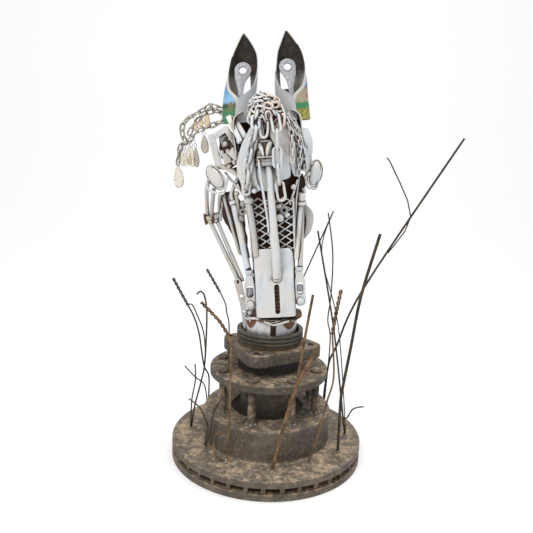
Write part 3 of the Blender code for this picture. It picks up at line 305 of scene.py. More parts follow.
# %% [markdown]
# ## Shape helpers
# A round part is a profile spun about an axis. A plate is one face, extruded and bevelled.
# A bent sheet is a grid whose vertices are placed by a function and then given a wall. A
# pipe is a curve with a bevel, because a curve keeps its section round through the bends.

# %% Laying and linking
def laid(bm, matrix):
    """The shape, moved by a matrix."""
    bmesh.ops.transform(bm, matrix=matrix, verts=bm.verts)
    return bm


def linked(name, data):
    """A new object in the scene."""
    made = bpy.data.objects.new(name, data)
    bpy.context.collection.objects.link(made)
    return made


# %% Turned parts
TOUCH = 0.01


def turned(profile, sides, lay=Matrix()):
    """Spin a closed profile of (radius, height) about Z; edges on the axis are left out."""
    bm = bmesh.new()
    ring = [bm.verts.new((radius, 0.0, height)) for radius, height in profile]
    loop = [bm.edges.new((a, b)) for a, b in zip(ring, ring[1:] + ring[:1])]
    on_axis = [edge for edge in loop if max(v.co.x for v in edge.verts) < TOUCH]
    bmesh.ops.delete(bm, geom=on_axis, context="EDGES")
    bmesh.ops.spin(
        bm, geom=bm.verts[:] + bm.edges[:], cent=(0, 0, 0), axis=(0, 0, 1),
        angle=tau, steps=sides, use_merge=True,
    )
    bmesh.ops.remove_doubles(bm, verts=bm.verts, dist=TOUCH)
    return laid(bm, lay)


# %% Plates and sheets
def plane_at(point, right, up):
    """A plane's matrix, whose depth faces away from a viewer who sees right and up."""
    across = Vector(right).normalized()
    back = across.cross(Vector(up)).normalized() * -1.0
    rise = across.cross(back)
    return at(point) @ Matrix((across, rise, back)).transposed().to_4x4()


def upright(front, turn=0.0, centre=0.0):
    along = Vector((cos(turn), sin(turn), 0.0))
    return plane_at((centre, front, 0.0), along, (0.0, 0.0, 1.0))


def slab(outline, thickness, plane=Matrix(), edge=0.0, segments=2):
    """Extrude an outline and round the edges of both its faces."""
    bm = bmesh.new()
    face = bm.faces.new([bm.verts.new((x, y, 0.0)) for x, y in outline])
    more = bmesh.ops.extrude_face_region(bm, geom=[face])["geom"]
    top = [item for item in more if isinstance(item, bmesh.types.BMVert)]
    bmesh.ops.translate(bm, vec=(0.0, 0.0, thickness), verts=top)
    bmesh.ops.recalc_face_normals(bm, faces=bm.faces)
    if edge:
        rims = [e for e in bm.edges if abs(e.verts[0].co.z - e.verts[1].co.z) < 0.001]
        bmesh.ops.bevel(
            bm, geom=rims, offset=edge, segments=segments, profile=0.5,
            affect="EDGES", material=-1, clamp_overlap=True,
        )
    return laid(bm, plane)


def rounded_slot(wide, tall, low, high, count):
    """The outline of a slot between two half ellipses."""
    outline = []
    for step in range(count):
        angle = tau * (step + 0.5) / count
        end = high if step < count // 2 else low
        outline.append((wide * cos(angle), end + tall * sin(angle)))
    return outline


def sheet(columns, rows, place, thickness):
    """A grid placed by a function of two shares, given a wall."""
    bm = bmesh.new()
    bmesh.ops.create_grid(bm, x_segments=columns, y_segments=rows, size=0.5)
    for vert in bm.verts:
        vert.co = place(vert.co.x + 0.5, vert.co.y + 0.5)
    bmesh.ops.recalc_face_normals(bm, faces=bm.faces)
    bmesh.ops.solidify(bm, geom=bm.faces[:], thickness=thickness)
    return bm


# %% Smooth runs and pipes
def curve_through(stations, share):
    """Values on a smooth curve through a list of rows."""
    place = min(max(share, 0.0), 1.0) * (len(stations) - 1)
    row = min(int(place), len(stations) - 2)
    t = place - row
    rows = [stations[min(max(row + k, 0), len(stations) - 1)] for k in (-1, 0, 1, 2)]
    return [
        0.5 * (2 * b + (c - a) * t + (2 * a - 5 * b + 4 * c - d) * t * t
               + (3 * b - 3 * c + d - a) * t ** 3)
        for a, b, c, d in zip(*rows)
    ]


def smooth_run(points, radii, steps=6):
    """Points and radii on a smooth curve through a run's own points."""
    if not isinstance(radii, (list, tuple)):
        radii = [radii] * len(points)
    rows = [(*point, radius) for point, radius in zip(points, radii)]
    count = (len(points) - 1) * steps
    dense = [curve_through(rows, number / count) for number in range(count + 1)]
    return [row[:3] for row in dense], [max(row[3], 0.05) for row in dense]


def pipes(runs, sides=14, closed=False):
    """Round bars in one bmesh; each run is its points and its radius or radii."""
    curve = bpy.data.curves.new("run", "CURVE")
    curve.dimensions = "3D"
    curve.bevel_depth = 1.0
    curve.bevel_resolution = (sides - 4) // 2
    curve.use_fill_caps = True
    for points, radii in runs:
        spline = curve.splines.new("POLY")
        spline.points.add(len(points) - 1)
        spline.use_cyclic_u = closed
        for number, (spot, point) in enumerate(zip(spline.points, points)):
            spot.co = (*point, 1.0)
            spot.radius = radii[number] if isinstance(radii, (list, tuple)) else radii
    holder = linked("run", curve)
    bpy.context.view_layer.update()
    graph = bpy.context.evaluated_depsgraph_get()
    mesh = bpy.data.meshes.new_from_object(holder.evaluated_get(graph))
    bm = bmesh.new()
    bm.from_mesh(mesh)
    bmesh.ops.remove_doubles(bm, verts=bm.verts, dist=0.001)
    bpy.data.objects.remove(holder, do_unlink=True)
    bpy.data.curves.remove(curve)
    bpy.data.meshes.remove(mesh)
    return bm


def bent(points, radii, sides=14, steps=6):
    """One smooth pipe."""
    return pipes([smooth_run(points, radii, steps)], sides)


# %% Joining and cutting
def joined(*parts):
    """Several shapes in one bmesh."""
    whole = parts[0]
    for part in parts[1:]:
        mesh = bpy.data.meshes.new("part")
        part.to_mesh(mesh)
        part.free()
        whole.from_mesh(mesh)
        bpy.data.meshes.remove(mesh)
    return whole


def cut(bm, *cutters):
    """The shape less its cutters, by a Boolean that is applied at once."""
    holders = []
    for shape in (bm, *cutters):
        bmesh.ops.recalc_face_normals(shape, faces=shape.faces)
        mesh = bpy.data.meshes.new("shape")
        shape.to_mesh(mesh)
        shape.free()
        holders.append(linked("shape", mesh))
    for cutter in holders[1:]:
        step = holders[0].modifiers.new("cut", "BOOLEAN")
        step.operation = "DIFFERENCE"
        step.solver = "EXACT"
        step.object = cutter
    bpy.context.view_layer.update()
    graph = bpy.context.evaluated_depsgraph_get()
    result = bpy.data.meshes.new_from_object(holders[0].evaluated_get(graph))
    left = bmesh.new()
    left.from_mesh(result)
    for holder in holders:
        bpy.data.objects.remove(holder, do_unlink=True)
    return left


# %% Roughening, splitting and placing
PAINT_EDGE = 4.5
IRON_EDGE = 7.0


def roughen(bm, amount, size):
    """Move each vertex along its normal by a soft noise, as hammered or cast metal is."""
    bm.normal_update()
    for vert in bm.verts:
        vert.co += vert.normal * amount * noise.noise(vert.co / size)
    return bm


def bead(centre, radius, stretch=(1, 1, 1), lumps=0.22):
    """A blob of weld."""
    bm = bmesh.new()
    bmesh.ops.create_icosphere(bm, subdivisions=3, radius=radius)
    bmesh.ops.scale(bm, vec=stretch, verts=bm.verts)
    bmesh.ops.translate(bm, vec=centre, verts=bm.verts)
    return roughen(bm, radius * lumps, radius * 1.1)


def refine(bm, longest):
    """Split long edges, so that an attribute on the vertices can show a close shadow."""
    bmesh.ops.triangulate(bm, faces=[face for face in bm.faces if len(face.verts) > 4])
    for _ in range(4):
        long = [edge for edge in bm.edges if edge.calc_length() > longest]
        if not long:
            break
        bmesh.ops.subdivide_edges(bm, edges=long, cuts=1)
        bmesh.ops.triangulate(bm, faces=[face for face in bm.faces if len(face.verts) > 4])


def piece(name, bm, finish, *nodes, space=HEAD, slot=None, crease=38.0):
    """Lay a shape in the part's frame and make it a piece, in place of its CAD nodes."""
    if finish in PAINTS:
        refine(bm, PAINT_EDGE)
    elif finish in IRONS:
        refine(bm, IRON_EDGE)
    laid(bm, space)
    bmesh.ops.recalc_face_normals(bm, faces=bm.faces)
    mesh = bpy.data.meshes.new(name)
    bm.to_mesh(mesh)
    bm.free()
    made = linked(name, mesh)
    mesh.materials.append(finish)
    mesh.shade_smooth()
    mesh.set_sharp_from_angle(angle=radians(crease))
    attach(made, "root")
    slot or SLOTS[finish]
    if nodes:
        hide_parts(*nodes)
    PIECES.append(made)
    print(name, "has", len(mesh.polygons), "faces")
    return made


# %% [markdown]
# ## The brake disc
# A vented disc is two flat rings with vanes between them, and the raised hat in the middle.
# The rings and the hat are turned, since every edge on them came off a lathe. The vanes are
# rough castings, so each is a small bar with its own lumps of rust.

# %% Brake disc
DISC_RADIUS = 160.0
DISC_HEIGHT = 32.0
PLATE_HEIGHT = 11.0
HAT_RADIUS = 106.0
HAT_TOP = 84.0
HAT_INNER = 98.0
HAT_BORE = 60.0
HAT_ROOF = 9.0
VANES = 36
VANE_SIZE = (57.0, 6.5, DISC_HEIGHT - 2 * PLATE_HEIGHT + 2.0)
VANE_MIDDLE = 129.0

upper = turned([
    (HAT_INNER, DISC_HEIGHT - PLATE_HEIGHT), (DISC_RADIUS - 0.8, DISC_HEIGHT - PLATE_HEIGHT),
    (DISC_RADIUS, DISC_HEIGHT - PLATE_HEIGHT + 0.8), (DISC_RADIUS, DISC_HEIGHT - 1.2),
    (DISC_RADIUS - 0.5, DISC_HEIGHT - 0.35), (DISC_RADIUS - 1.4, DISC_HEIGHT),
    (HAT_RADIUS + 2.6, DISC_HEIGHT), (HAT_RADIUS + 0.9, DISC_HEIGHT + 0.6),
    (HAT_RADIUS, DISC_HEIGHT + 2.4), (HAT_RADIUS, HAT_TOP - 1.8), (HAT_RADIUS - 0.6, HAT_TOP - 0.6),
    (HAT_RADIUS - 1.8, HAT_TOP), (HAT_BORE + 1.2, HAT_TOP), (HAT_BORE, HAT_TOP - 1.2),
    (HAT_BORE, HAT_TOP - HAT_ROOF), (HAT_INNER, HAT_TOP - HAT_ROOF),
], 180)
lower = turned([
    (HAT_INNER, 0.0), (DISC_RADIUS - 1.4, 0.0), (DISC_RADIUS, 1.2),
    (DISC_RADIUS, PLATE_HEIGHT - 0.8), (DISC_RADIUS - 0.8, PLATE_HEIGHT),
    (HAT_INNER, PLATE_HEIGHT),
], 180)
vanes = []
for number in range(VANES):
    angle = tau * number / VANES
    vane = bmesh.new()
    bmesh.ops.create_cube(vane, size=1.0)
    bmesh.ops.subdivide_edges(vane, edges=vane.edges[:], cuts=5, use_grid_fill=True)
    bmesh.ops.scale(vane, vec=VANE_SIZE, verts=vane.verts)
    bmesh.ops.translate(vane, vec=(VANE_MIDDLE, 0.0, DISC_HEIGHT / 2), verts=vane.verts)
    laid(vane, about("Z", angle))
    vanes.append(roughen(vane, 2.6, 6.0))
disc = piece("disc_body", joined(upper, lower, *vanes), DISC_IRON, "brake_disc", space=BASE)
print("disc faces", len(disc.data.polygons))

# %% [markdown]
# ## Hub, studs and bearing carrier
# The studs are threaded rods, so their sides are a saw-tooth profile. Blobs of weld hold
# their feet. The carrier is one casting: an outline that swells at its four ears, extruded
# and rounded, with a hole and a small raised seat in each ear.

# %% Studs and their welds
STUD_RADIUS = 6.0
THREAD_PITCH = 1.8
BLOB_REACH = 6.8
BLOB_TURN = 1.256
FLANGE_BOTTOM = 142.0
FLANGE_TOP = 155.0
shafts = []
heads = []
welds = []
for number in range(8):
    low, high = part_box(f"hub_stud_{number + 1}")
    centre = (BASE.inverted() @ ((low + high) / 2)).to_2d().to_3d()
    lay = at(centre)
    profile = [(0.0, HAT_TOP), (STUD_RADIUS + 0.2, HAT_TOP)]
    height = HAT_TOP + 1.0
    while height < FLANGE_BOTTOM - 1.0:
        profile += [(STUD_RADIUS + 0.35, height), (STUD_RADIUS - 0.45, height + THREAD_PITCH / 2)]
        height += THREAD_PITCH
    profile += [(STUD_RADIUS, FLANGE_BOTTOM + 0.5), (0.0, FLANGE_BOTTOM + 0.5)]
    shafts.append(turned(profile, 24, lay))
    top = FLANGE_TOP + 0.3
    heads.append(turned([
        (0.0, top), (9.3, top), (9.3, top + 2.6), (8.6, top + 3.6), (6.6, top + 4.8),
        (5.9, top + 4.5), (5.4, top + 5.6), (0.0, top + 6.0),
    ], 32, lay))
    for blob in range(5):
        angle = blob * BLOB_TURN + number
        offset = Vector((BLOB_REACH * cos(angle), BLOB_REACH * sin(angle), HAT_TOP + 0.8))
        welds.append(bead(centre + offset, 3.6, (1, 1, 0.7)))
stud_names = [f"hub_stud_{number + 1}" for number in range(8)]
piece("stud_shafts", joined(*shafts), HUB_IRON, *stud_names, space=BASE)
piece("stud_heads", joined(*heads), HUB_IRON, space=BASE)
piece("stud_welds", joined(*welds), WELD, crease=60, space=BASE)

# %% Hub
hub = turned([
    (0.0, 62.0), (44.8, 62.0), (46.0, 63.2), (46.0, FLANGE_BOTTOM - 1.5),
    (47.5, FLANGE_BOTTOM), (97.0, FLANGE_BOTTOM), (98.0, FLANGE_BOTTOM + 1.0),
    (98.0, FLANGE_TOP - 1.3), (96.7, FLANGE_TOP), (54.0, FLANGE_TOP), (0.0, FLANGE_TOP),
], 160)
piece("hub_flange", hub, HUB_IRON, "wheel_hub", space=BASE)
BOSS_TOP = 176.4
boss = turned([
    (0.0, FLANGE_TOP - 1.0), (53.0, FLANGE_TOP - 1.0), (52.6, FLANGE_TOP + 1.0),
    (52.0, FLANGE_TOP + 2.0), (52.0, BOSS_TOP - 0.8), (51.2, BOSS_TOP), (0.0, BOSS_TOP),
], 120)
piece("hub_boss", boss, BLACK_IRON, space=BASE)

# %% Bearing carrier
CARRIER_RADIUS = 63.0
CARRIER_BOTTOM = 176.8
CARRIER_TOP = 196.8
EAR_REACHES = {-8.0: 22.0, -106.0: 20.0, 165.0: 16.5, 74.0: 20.0}
EAR_SPREAD = 20.0
BOLT_REACH = 69.0
BOLT_HOLE = [(0.0, 170.0), (5.5, 170.0), (5.5, 205.0), (0.0, 205.0)]


def carrier_reach(degrees):
    off = [((degrees - ear + 180) % 360 - 180, reach) for ear, reach in EAR_REACHES.items()]
    swells = [reach * exp(-(angle / EAR_SPREAD) ** 2) for angle, reach in off]
    return CARRIER_RADIUS + max(swells)


outline = []
for step in range(180):
    turn = radians(2.0 * step)
    reach = carrier_reach(2.0 * step)
    outline.append((reach * cos(turn), reach * sin(turn)))
carrier = slab(outline, CARRIER_TOP - CARRIER_BOTTOM, at((0, 0, CARRIER_BOTTOM)), 2.2, 3)
holes = []
seats = []
for ear in EAR_REACHES:
    turn = radians(ear)
    lay = at((BOLT_REACH * cos(turn), BOLT_REACH * sin(turn), 0.0))
    holes.append(turned(BOLT_HOLE, 28, lay))
    seats.append(turned([
        (5.9, CARRIER_TOP - 1.0), (10.4, CARRIER_TOP - 1.0), (10.0, CARRIER_TOP + 0.25),
        (5.9, CARRIER_TOP + 0.25),
    ], 28, lay))
carrier = joined(cut(carrier, *holes), *seats)
piece("carrier_casting", carrier, HUB_IRON, "bearing_carrier", crease=30, space=BASE)

# %% Ribbed collar
COLLAR_RADIUS = 55.0
COLLAR_BOTTOM = 197.1
COLLAR_TOP = 221.1
profile = [(0.0, COLLAR_BOTTOM), (COLLAR_RADIUS - 3.0, COLLAR_BOTTOM)]
RIB = 4.2
GROOVE = 2.4
height = COLLAR_BOTTOM
for number in range(3):
    outer = COLLAR_RADIUS if number else COLLAR_RADIUS - 1.6
    profile += [(outer - 0.5, height + 0.4), (outer, height + 1.0), (outer, height + RIB - 0.5)]
    height += RIB
    profile += [(outer - 0.5, height), (COLLAR_RADIUS - 3.5, height)]
    height += GROOVE
    profile.append((COLLAR_RADIUS - 3.5, height))
profile += [
    (COLLAR_RADIUS - 0.5, height), (COLLAR_RADIUS, height + 0.5), (COLLAR_RADIUS, COLLAR_TOP - 0.8),
    (COLLAR_RADIUS - 0.8, COLLAR_TOP), (COLLAR_RADIUS - 6.2, COLLAR_TOP),
    (COLLAR_RADIUS - 7.0, COLLAR_TOP - 0.8), (COLLAR_RADIUS - 7.0, COLLAR_BOTTOM + 6.0),
    (0.0, COLLAR_BOTTOM + 6.0),
]
piece("collar_rings", turned(profile, 140), COLLAR, "ribbed_collar", space=BASE)

# %% [markdown]
# ## Muzzle
# The chin is a cup standing in the collar, with a wavy lip of thin plate on it. The nose is
# one plate folded over the front, and its slot is cut with a Boolean because no bmesh
# operator cuts through a curved sheet as cleanly. Behind the bridge is expanded metal,
# which is slit and stretched sheet: rows of waves that touch at their crests.

# %% Chin cup and lip
cup = turned([
    (0.0, 203.4), (41.4, 203.4), (42.2, 204.2), (44.0, 245.0), (43.2, 245.6), (41.6, 245.6),
    (41.0, 245.0), (39.2, 206.4), (0.0, 206.4),
], 96)
slot_outline = [(-4.5, COLLAR_TOP - 8.0), (4.5, COLLAR_TOP - 8.0), (4.5, 244.0), (-4.5, 244.0)]
slot = slab(slot_outline, 30.0, upright(-53.0, 0.0, HEAD_SHIFT / 2))
piece("chin_shell", cut(cup, slot), WHITE, "chin_cup", space=BASE)
# A thin sheet inside the cup wall: rust inside the cup, darkened as painted shade of its depth.
inside = turned([
    (0.0, 206.6), (38.4, 206.6), (40.4, 238.0), (39.9, 238.0), (37.9, 207.1), (0, 207.1),
], 64)
piece("chin_rust_and_shade", inside, INNER_RUST_AND_SHADE, space=BASE)


def lip_place(across, back):
    front = 1.0 - back
    narrow = 1.0 - 0.5 * abs(2.0 * back - 1.0) ** 3
    side = 2.0 * across - 1.0
    wave = 0.8 * sin(9.0 * across + 1.0) * front
    return Vector((side * 42.0 * narrow, (back - 0.56) * 90.0,
                   6.0 * side ** 2 * (0.3 + 0.7 * front) + wave))


lip = roughen(sheet(64, 48, lip_place, 3.0), 1.0, 9.0)
piece("lip_sheet", lip, RUST, "lip_plate", crease=50)
lip_edge = []
for step in range(25):
    across = 0.06 + 0.88 * step / 24
    lip_edge.append(lip_place(across, 0.012) + Vector((0.0, -1.0, 1.2)))
piece("lip_rim", roughen(bent(lip_edge, 1.9, 12, 3), 0.7, 5.0), WORN, crease=60)
FOLD_RADIUS = 45.4
fold = []
for step in range(33):
    angle = radians(196.0 + 148.0 * step / 32)
    rise = 243.6 + 2.4 * cos(6.0 * angle)
    fold.append((1.0 + FOLD_RADIUS * cos(angle), FOLD_RADIUS * sin(angle), rise))
piece("lip_fold", roughen(bent(fold, 2.0, 12, 2), 0.8, 6.0), WHITE, crease=60, space=BASE)


POCKET_RADIUS = 44.3
POCKET_DEPTH = 15.0
POCKET_TOP = 243.0


def pocket(first, last):
    """A rusted patch on the wall of the cup, between two angles."""
    def place(across, up):
        angle = radians(first + (last - first) * across)
        tall = POCKET_DEPTH * sin(pi * across) ** 0.7
        return Vector((POCKET_RADIUS * cos(angle), POCKET_RADIUS * sin(angle),
                       POCKET_TOP - tall * (1.0 - up)))
    return sheet(24, 10, place, 0.8)


pockets = joined(pocket(204.0, 240.0), pocket(296.0, 338.0))
piece("lip_pockets", roughen(pockets, 0.5, 4.0), RUST, crease=60, space=BASE)
chin_welds = [bead(place, 4.8) for place in ((-40, -22, 44), (-41, -22, 30), (-41, -24, 15),
                                             (-40, -26, 3))]
piece("chin_welds", joined(*chin_welds), WHITE, crease=70)

# %% Nose plate
NOSE_HALF = 31.0
NOSE_FRONT = -50.0
NOSE_ROWS = [
    (13.0, 1.0, 0.0), (26.0, 1.0, -0.2), (40.0, 1.0, 0.0), (54.0, 0.99, 0.0), (66.0, 0.98, 0.6),
    (76.0, 1.0, 3.6), (87.0, 1.03, 7.6), (99.0, 1.02, 8.2), (111.0, 0.99, 8.5), (117.0, 0.92, 8.8),
    (121.0, 0.78, 9.5),
]
NOSE_SECTION = [
    (-1.0, 1.0), (-1.0, 0.66), (-1.0, 0.32), (-0.97, 0.15), (-0.88, 0.05), (-0.7, 0.0),
    (-0.35, -0.03), (0.0, -0.04),
]
NOSE_SECTION += [(-x, y) for x, y in reversed(NOSE_SECTION[:-1])]


def nose_place(across, up):
    height, width, back = curve_through(NOSE_ROWS, up)
    side, depth = curve_through(NOSE_SECTION, across)
    dent = 0.5 * noise.noise(Vector((side * 1.6, height / 24.0, 4.0)))
    return Vector((side * width * NOSE_HALF, NOSE_FRONT + back + depth * 22.0 + dent, height))


nose = sheet(56, 60, nose_place, 2.5)
SLOT_HALF = 4.0
slot_outline = rounded_slot(SLOT_HALF, SLOT_HALF, 18.0 + SLOT_HALF, 66.0 - SLOT_HALF, 24)
nose_slot = slab(slot_outline, 15.0, upright(NOSE_FRONT - 8.0, 0.0, 3.0))
piece("nose_cover", cut(nose, nose_slot), WHITE, "nose_plate", crease=50)

# %% Teeth of a dark drive chain behind the slot
TOOTH_PITCH = 6.0
TOOTH_DEPTH = -43.5
teeth = []
for number in range(10):
    height = 12.0 + TOOTH_PITCH * number
    roller = turned([(0.0, -5.0), (2.3, -5.0), (2.3, 5.0), (0.0, 5.0)], 16)
    lay = at((3.0, TOOTH_DEPTH, height)) @ about("Y", pi / 2)
    laid(roller, lay)
    teeth.append(roller)
    side = 1 if number % 2 else -1
    plate = slab([(-2.2, -3.6), (2.2, -3.6), (2.8, 0), (2.2, 3.6), (-2.2, 3.6), (-2.8, 0)], 1.2,
                 plane_at((3.0 + side * 3.4, TOOTH_DEPTH, height + TOOTH_PITCH / 2), (0, 1, 0),
                          (0, 0, 1)), 0.3, 1)
    teeth.append(plate)
piece("slot_chain", joined(*teeth), RUST)

# %% Expanded metal
MESH_BOTTOM = 108.0
MESH_TOP = 198.0
CELL_WIDTH = 20.0
CELL_HEIGHT = 12.3
STRAND_RADIUS = 1.05
strands = []
row = 0
height = MESH_BOTTOM + 2.0
while height < MESH_TOP:
    points = []
    for step in range(-28, 29):
        u = step * 1.2
        phase = tau * u / CELL_WIDTH + (pi if row % 2 else 0.0)
        wave = cos(phase) + 0.16 * cos(3 * phase)
        twist = 0.8 * sin(phase)
        points.append((u, -33.4 + twist, height + wave * CELL_HEIGHT * 0.235))
    strands.append(pipes([(points, STRAND_RADIUS)], 8))
    row += 1
    height += CELL_HEIGHT / 2
for side in (-1, 1):
    edge = [(side * 33.6, -33.2, MESH_BOTTOM), (side * 34.6, -33.2, MESH_TOP)]
    strands.append(pipes([(edge, 1.6)], 8))
piece("mesh_strands", joined(*strands), WHITE, "nose_mesh", crease=60)
print("mesh rows", row)

# %% [markdown]
# ## Back of the head
# The photo shows only the front, where brown rust stands behind every gap. The back is one
# sheet bent round the head, rusty inside and painted outside, with two seams of weld.

# %% Skull
SKULL_FRONT = -31.0
SKULL_ROWS = [
    (0.0, 29.0, 26.0), (60.0, 31.0, 32.0), (120.0, 32.0, 42.0), (190.0, 38.0, 62.0),
    (250.0, 47.0, 80.0), (315.0, 50.0, 56.0), (330.0, 36.0, 30.0),
]
SKULL_SECTION = [
    (-1.0, 0.0), (-1.0, 0.25), (-1.0, 0.5), (-0.95, 0.68), (-0.84, 0.82), (-0.45, 0.96), (0.0, 1.0),
]
SKULL_SECTION += [(-x, y) for x, y in reversed(SKULL_SECTION[:-1])]


def skull_place(across, up):
    height, half_width, back = curve_through(SKULL_ROWS, up)
    side, depth = curve_through(SKULL_SECTION, across)
    dent = 1.2 * noise.noise(Vector((side * 2.2, depth * 2.0, height / 30.0)))
    return Vector((side * half_width, SKULL_FRONT + depth * (back + dent - SKULL_FRONT), height))


skull = piece("skull_sheet", sheet(48, 72, skull_place, 2.2), RUST, "skull_shell", crease=60)
skull.data.materials.append(WORN)
for polygon in skull.data.polygons:
    local = HEAD.inverted() @ polygon.center
    middle = Vector((0.0, 5.0, local.z))
    outward = (HEAD.to_3x3() @ (local - middle)).dot(polygon.normal) > 0
    polygon.material_index = 1 if outward else 0
seams = []
for share in (0.28, 0.72):
    line = [skull_place(share, 0.03 + 0.94 * step / 24) for step in range(25)]
    seams.append(roughen(bent(line, 2.0, 10, 3), 1.2, 3.0))
piece("skull_seams", joined(*seams), WORN, crease=60)


# %% [markdown]
# ## Tubes and brackets of the face
# The long bones of the face are real tubes, so each is a smooth run of points with its own
# radius at every bend. A ring of weld sits wherever a tube ends on something.

# %% Nose tube and rod
nose_tube = bent([(-2, -46, 248), (1, -54, 225), (1, -56, 200), (2, -57, 152), (4, -55, 116),
                  (4, -52.5, 77)],
                 [4.3, 4.9, 5.6, 6.7, 6.8, 6.3], 28)
piece("nose_pipe", nose_tube, WHITE, "nose_tube")
piece("nose_pipe_weld", joined(
    bead((4, -50.5, 76), 6.6, (1, 0.6, 1)), bead((1, -50.0, 81), 4.4, (1, 0.6, 1)),
    bead((7.5, -49.5, 82), 4.0, (1, 0.6, 1)), bead((-1, -44, 249), 5.5),
), WHITE, crease=70)
piece("nose_wire", bent(
    [(-15, -51, 258), (-13, -58, 231), (-6, -60, 171), (-5, -60, 150)], 1.9, 14,
), WHITE, "nose_rod")

# %% Nostril brackets
BRACKET_HALF = 8.5
for word, side, foot in (("left", -1, 25.0), ("right", 1, 27.0)):
    middle = side * (NOSE_HALF + BRACKET_HALF)
    front = NOSE_FRONT + 8.0
    shoulder = foot + 40.0
    neck = foot + 60.0
    outline = [(BRACKET_HALF, shoulder), (7.0, shoulder + 6), (4.0, neck), (-4.0, neck),
               (-7.0, shoulder + 6), (-BRACKET_HALF, shoulder)]
    for step in range(17):
        angle = pi * (1.0 + step / 16)
        outline.append((BRACKET_HALF * cos(angle), foot + BRACKET_HALF + BRACKET_HALF * sin(angle)))
    tab = slab(outline, 9.0, upright(front, 0.0, middle), 1.2, 3)
    window = rounded_slot(5.6, 5.0, foot + 24.0, foot + 34.0, 16)
    tab = cut(tab, slab(window, 30.0, upright(front - 10.0, 0.0, middle)))
    roller = turned([(0, -5.2), (4.6, -5.2), (5.0, -4.6), (5.0, 4.6), (4.6, 5.2), (0, 5.2)], 32,
                    at((middle, front + 3.5, foot + 29.0)))
    dome_lay = at((middle, front + 0.5, foot + BRACKET_HALF)) @ about("X", pi / 2)
    dome = turned([(0, -1), (6.5, -1), (6.5, 0.4), (5.9, 2.0), (4.4, 3.2), (2.2, 3.8), (0, 4.0)],
                  32, dome_lay)
    ring = turned([
        (0, neck - 2.5), (6.3, neck - 2.5), (6.8, neck - 2.0), (6.8, neck - 0.4), (6.0, neck + 0.2),
        (6.8, neck + 0.8), (6.8, neck + 2.6), (6.3, neck + 3.0), (0, neck + 3.0),
    ], 32, at((middle, front + 4.5, 0.0)))
    piece(f"nostril_tab_{word}", joined(tab, dome, ring), WHITE, f"nostril_bracket_{word}")
    piece(f"nostril_roller_{word}", roller, LEVER)

# %% Cheek tubes and the engine valve
left = [(-40, -37, 89), (-42, -34, 93), (-50, -19, 141), (-59, -4, 189)]
neck = [(-60, -3, 194.5), (-62, -1, 208), (-46, -8, 238)]
tube = joined(
    bent(left, 5.4, 24), bent(neck, 3.3, 18),
    turned([(0, -3), (6.6, -3), (7.1, -2.4), (7.1, 2.2), (6.4, 3), (0, 3)], 28,
           at((-59.5, -3.5, 191.5)) @ about("Y", -0.22) @ about("X", -0.28)),
)
piece("cheek_pipe_left", tube, WHITE, "cheek_strut_left")

valve_run = [(-34.5, -41.4, 206), (-34.2, -41.4, 202), (-34, -41.4, 199), (-33.8, -41.4, 196.5),
             (-33.6, -41.4, 193), (-33.4, -41.2, 189), (-29, -39.3, 149), (-27, -39.3, 110)]
valve = bent(valve_run, [2.6, 4.2, 7.2, 7.4, 5.6, 4.9, 4.8, 4.8], 28, 5)
piece("face_valve", valve, WORN, "engine_valve_left", slot="valve")
piece("face_valve_head", turned(
    [(0, 0), (6.6, 0), (7.2, 0.8), (7.2, 2.6), (6.4, 3.2), (0, 3.2)], 36,
    at((-34.0, -41.4, 195.0)) @ about("Y", -0.09),
), WHITE)

washer_lay = at((45.8, -13.0, 188.5)) @ about("Y", 0.12) @ about("X", 0.2)
right = joined(
    bent([(45.4, -14, 186), (40, -24, 144), (34.5, -34, 102)], 4.8, 24),
    turned([(0, 2), (7.0, 2), (7.4, 3), (7.4, 14), (6.9, 14.8), (0, 14.8)], 32, washer_lay),
    turned([(0, -2.4), (10.2, -2.4), (10.6, -1.8), (10.6, 1.6), (10.0, 2.4), (0, 2.4)], 36,
           washer_lay),
)
piece("cheek_pipe_right", right, WHITE, "cheek_strut_right")
piece("cheek_pipe_rear", bent([(49, -2, 186), (46, -12, 140), (41, -37, 90)], 4.0, 18), WORN,
      "cheek_tube_right")
cheek_rods = joined(
    bent([(-71, 4, 240), (-57, -6, 222), (-43, -15, 205)], 1.9, 12),
    bent([(43, -30, 225), (36, -31, 206), (29, -32, 187)], 1.7, 12),
)
piece("cheek_rods", cheek_rods, WHITE)

# %% [markdown]
# ## The jaw
# Five pipes meet at a hub behind the left cheek. Their ends are notched and welded on the
# real thing, which a few blobs of weld round the hub show well enough.

# %% Jaw pipes, bar, strap and leaf
jaw = joined(
    bent([(-112, 46, 162), (-86, 46, 166)], 8.0, 28, 2),
    bent([(-96, 4, 233), (-104, 20, 214), (-107, 33, 190), (-109, 45, 166)], 3.4, 18),
    bent([(-91, 6, 214), (-97, 26, 190), (-102, 44, 166)], 3.4, 18),
    bent([(-79, -1, 207), (-84, 20, 196), (-88, 44, 168)], 3.4, 18),
    bent([(-106, 45, 160), (-82, 15, 112), (-57, -14, 62)], 3.6, 18),
    bent([(-94, 44, 161), (-73, 15, 113), (-52, -14, 66)], 3.4, 18),
    bead((-108, 44, 166), 5.0), bead((-101, 42, 168), 4.6), bead((-89, 42, 168), 4.8),
    bead((-104, 42, 158), 4.8), bead((-94, 41, 159), 4.6),
)
piece("jaw_pipes", jaw, WORN, "jaw_frame_left", crease=60)
washers = joined(
    turned([(4, -1.2), (9.6, -1.2), (9.9, 0), (9.6, 1.2), (4, 1.2)], 32,
           at((-113, 46, 162)) @ about("Y", 1.42)),
    turned([(4, -1.2), (9.6, -1.2), (9.9, 0), (9.6, 1.2), (4, 1.2)], 32,
           at((-99.5, 46, 164)) @ about("Y", 1.42)),
)
piece("jaw_washers", washers, RUST)

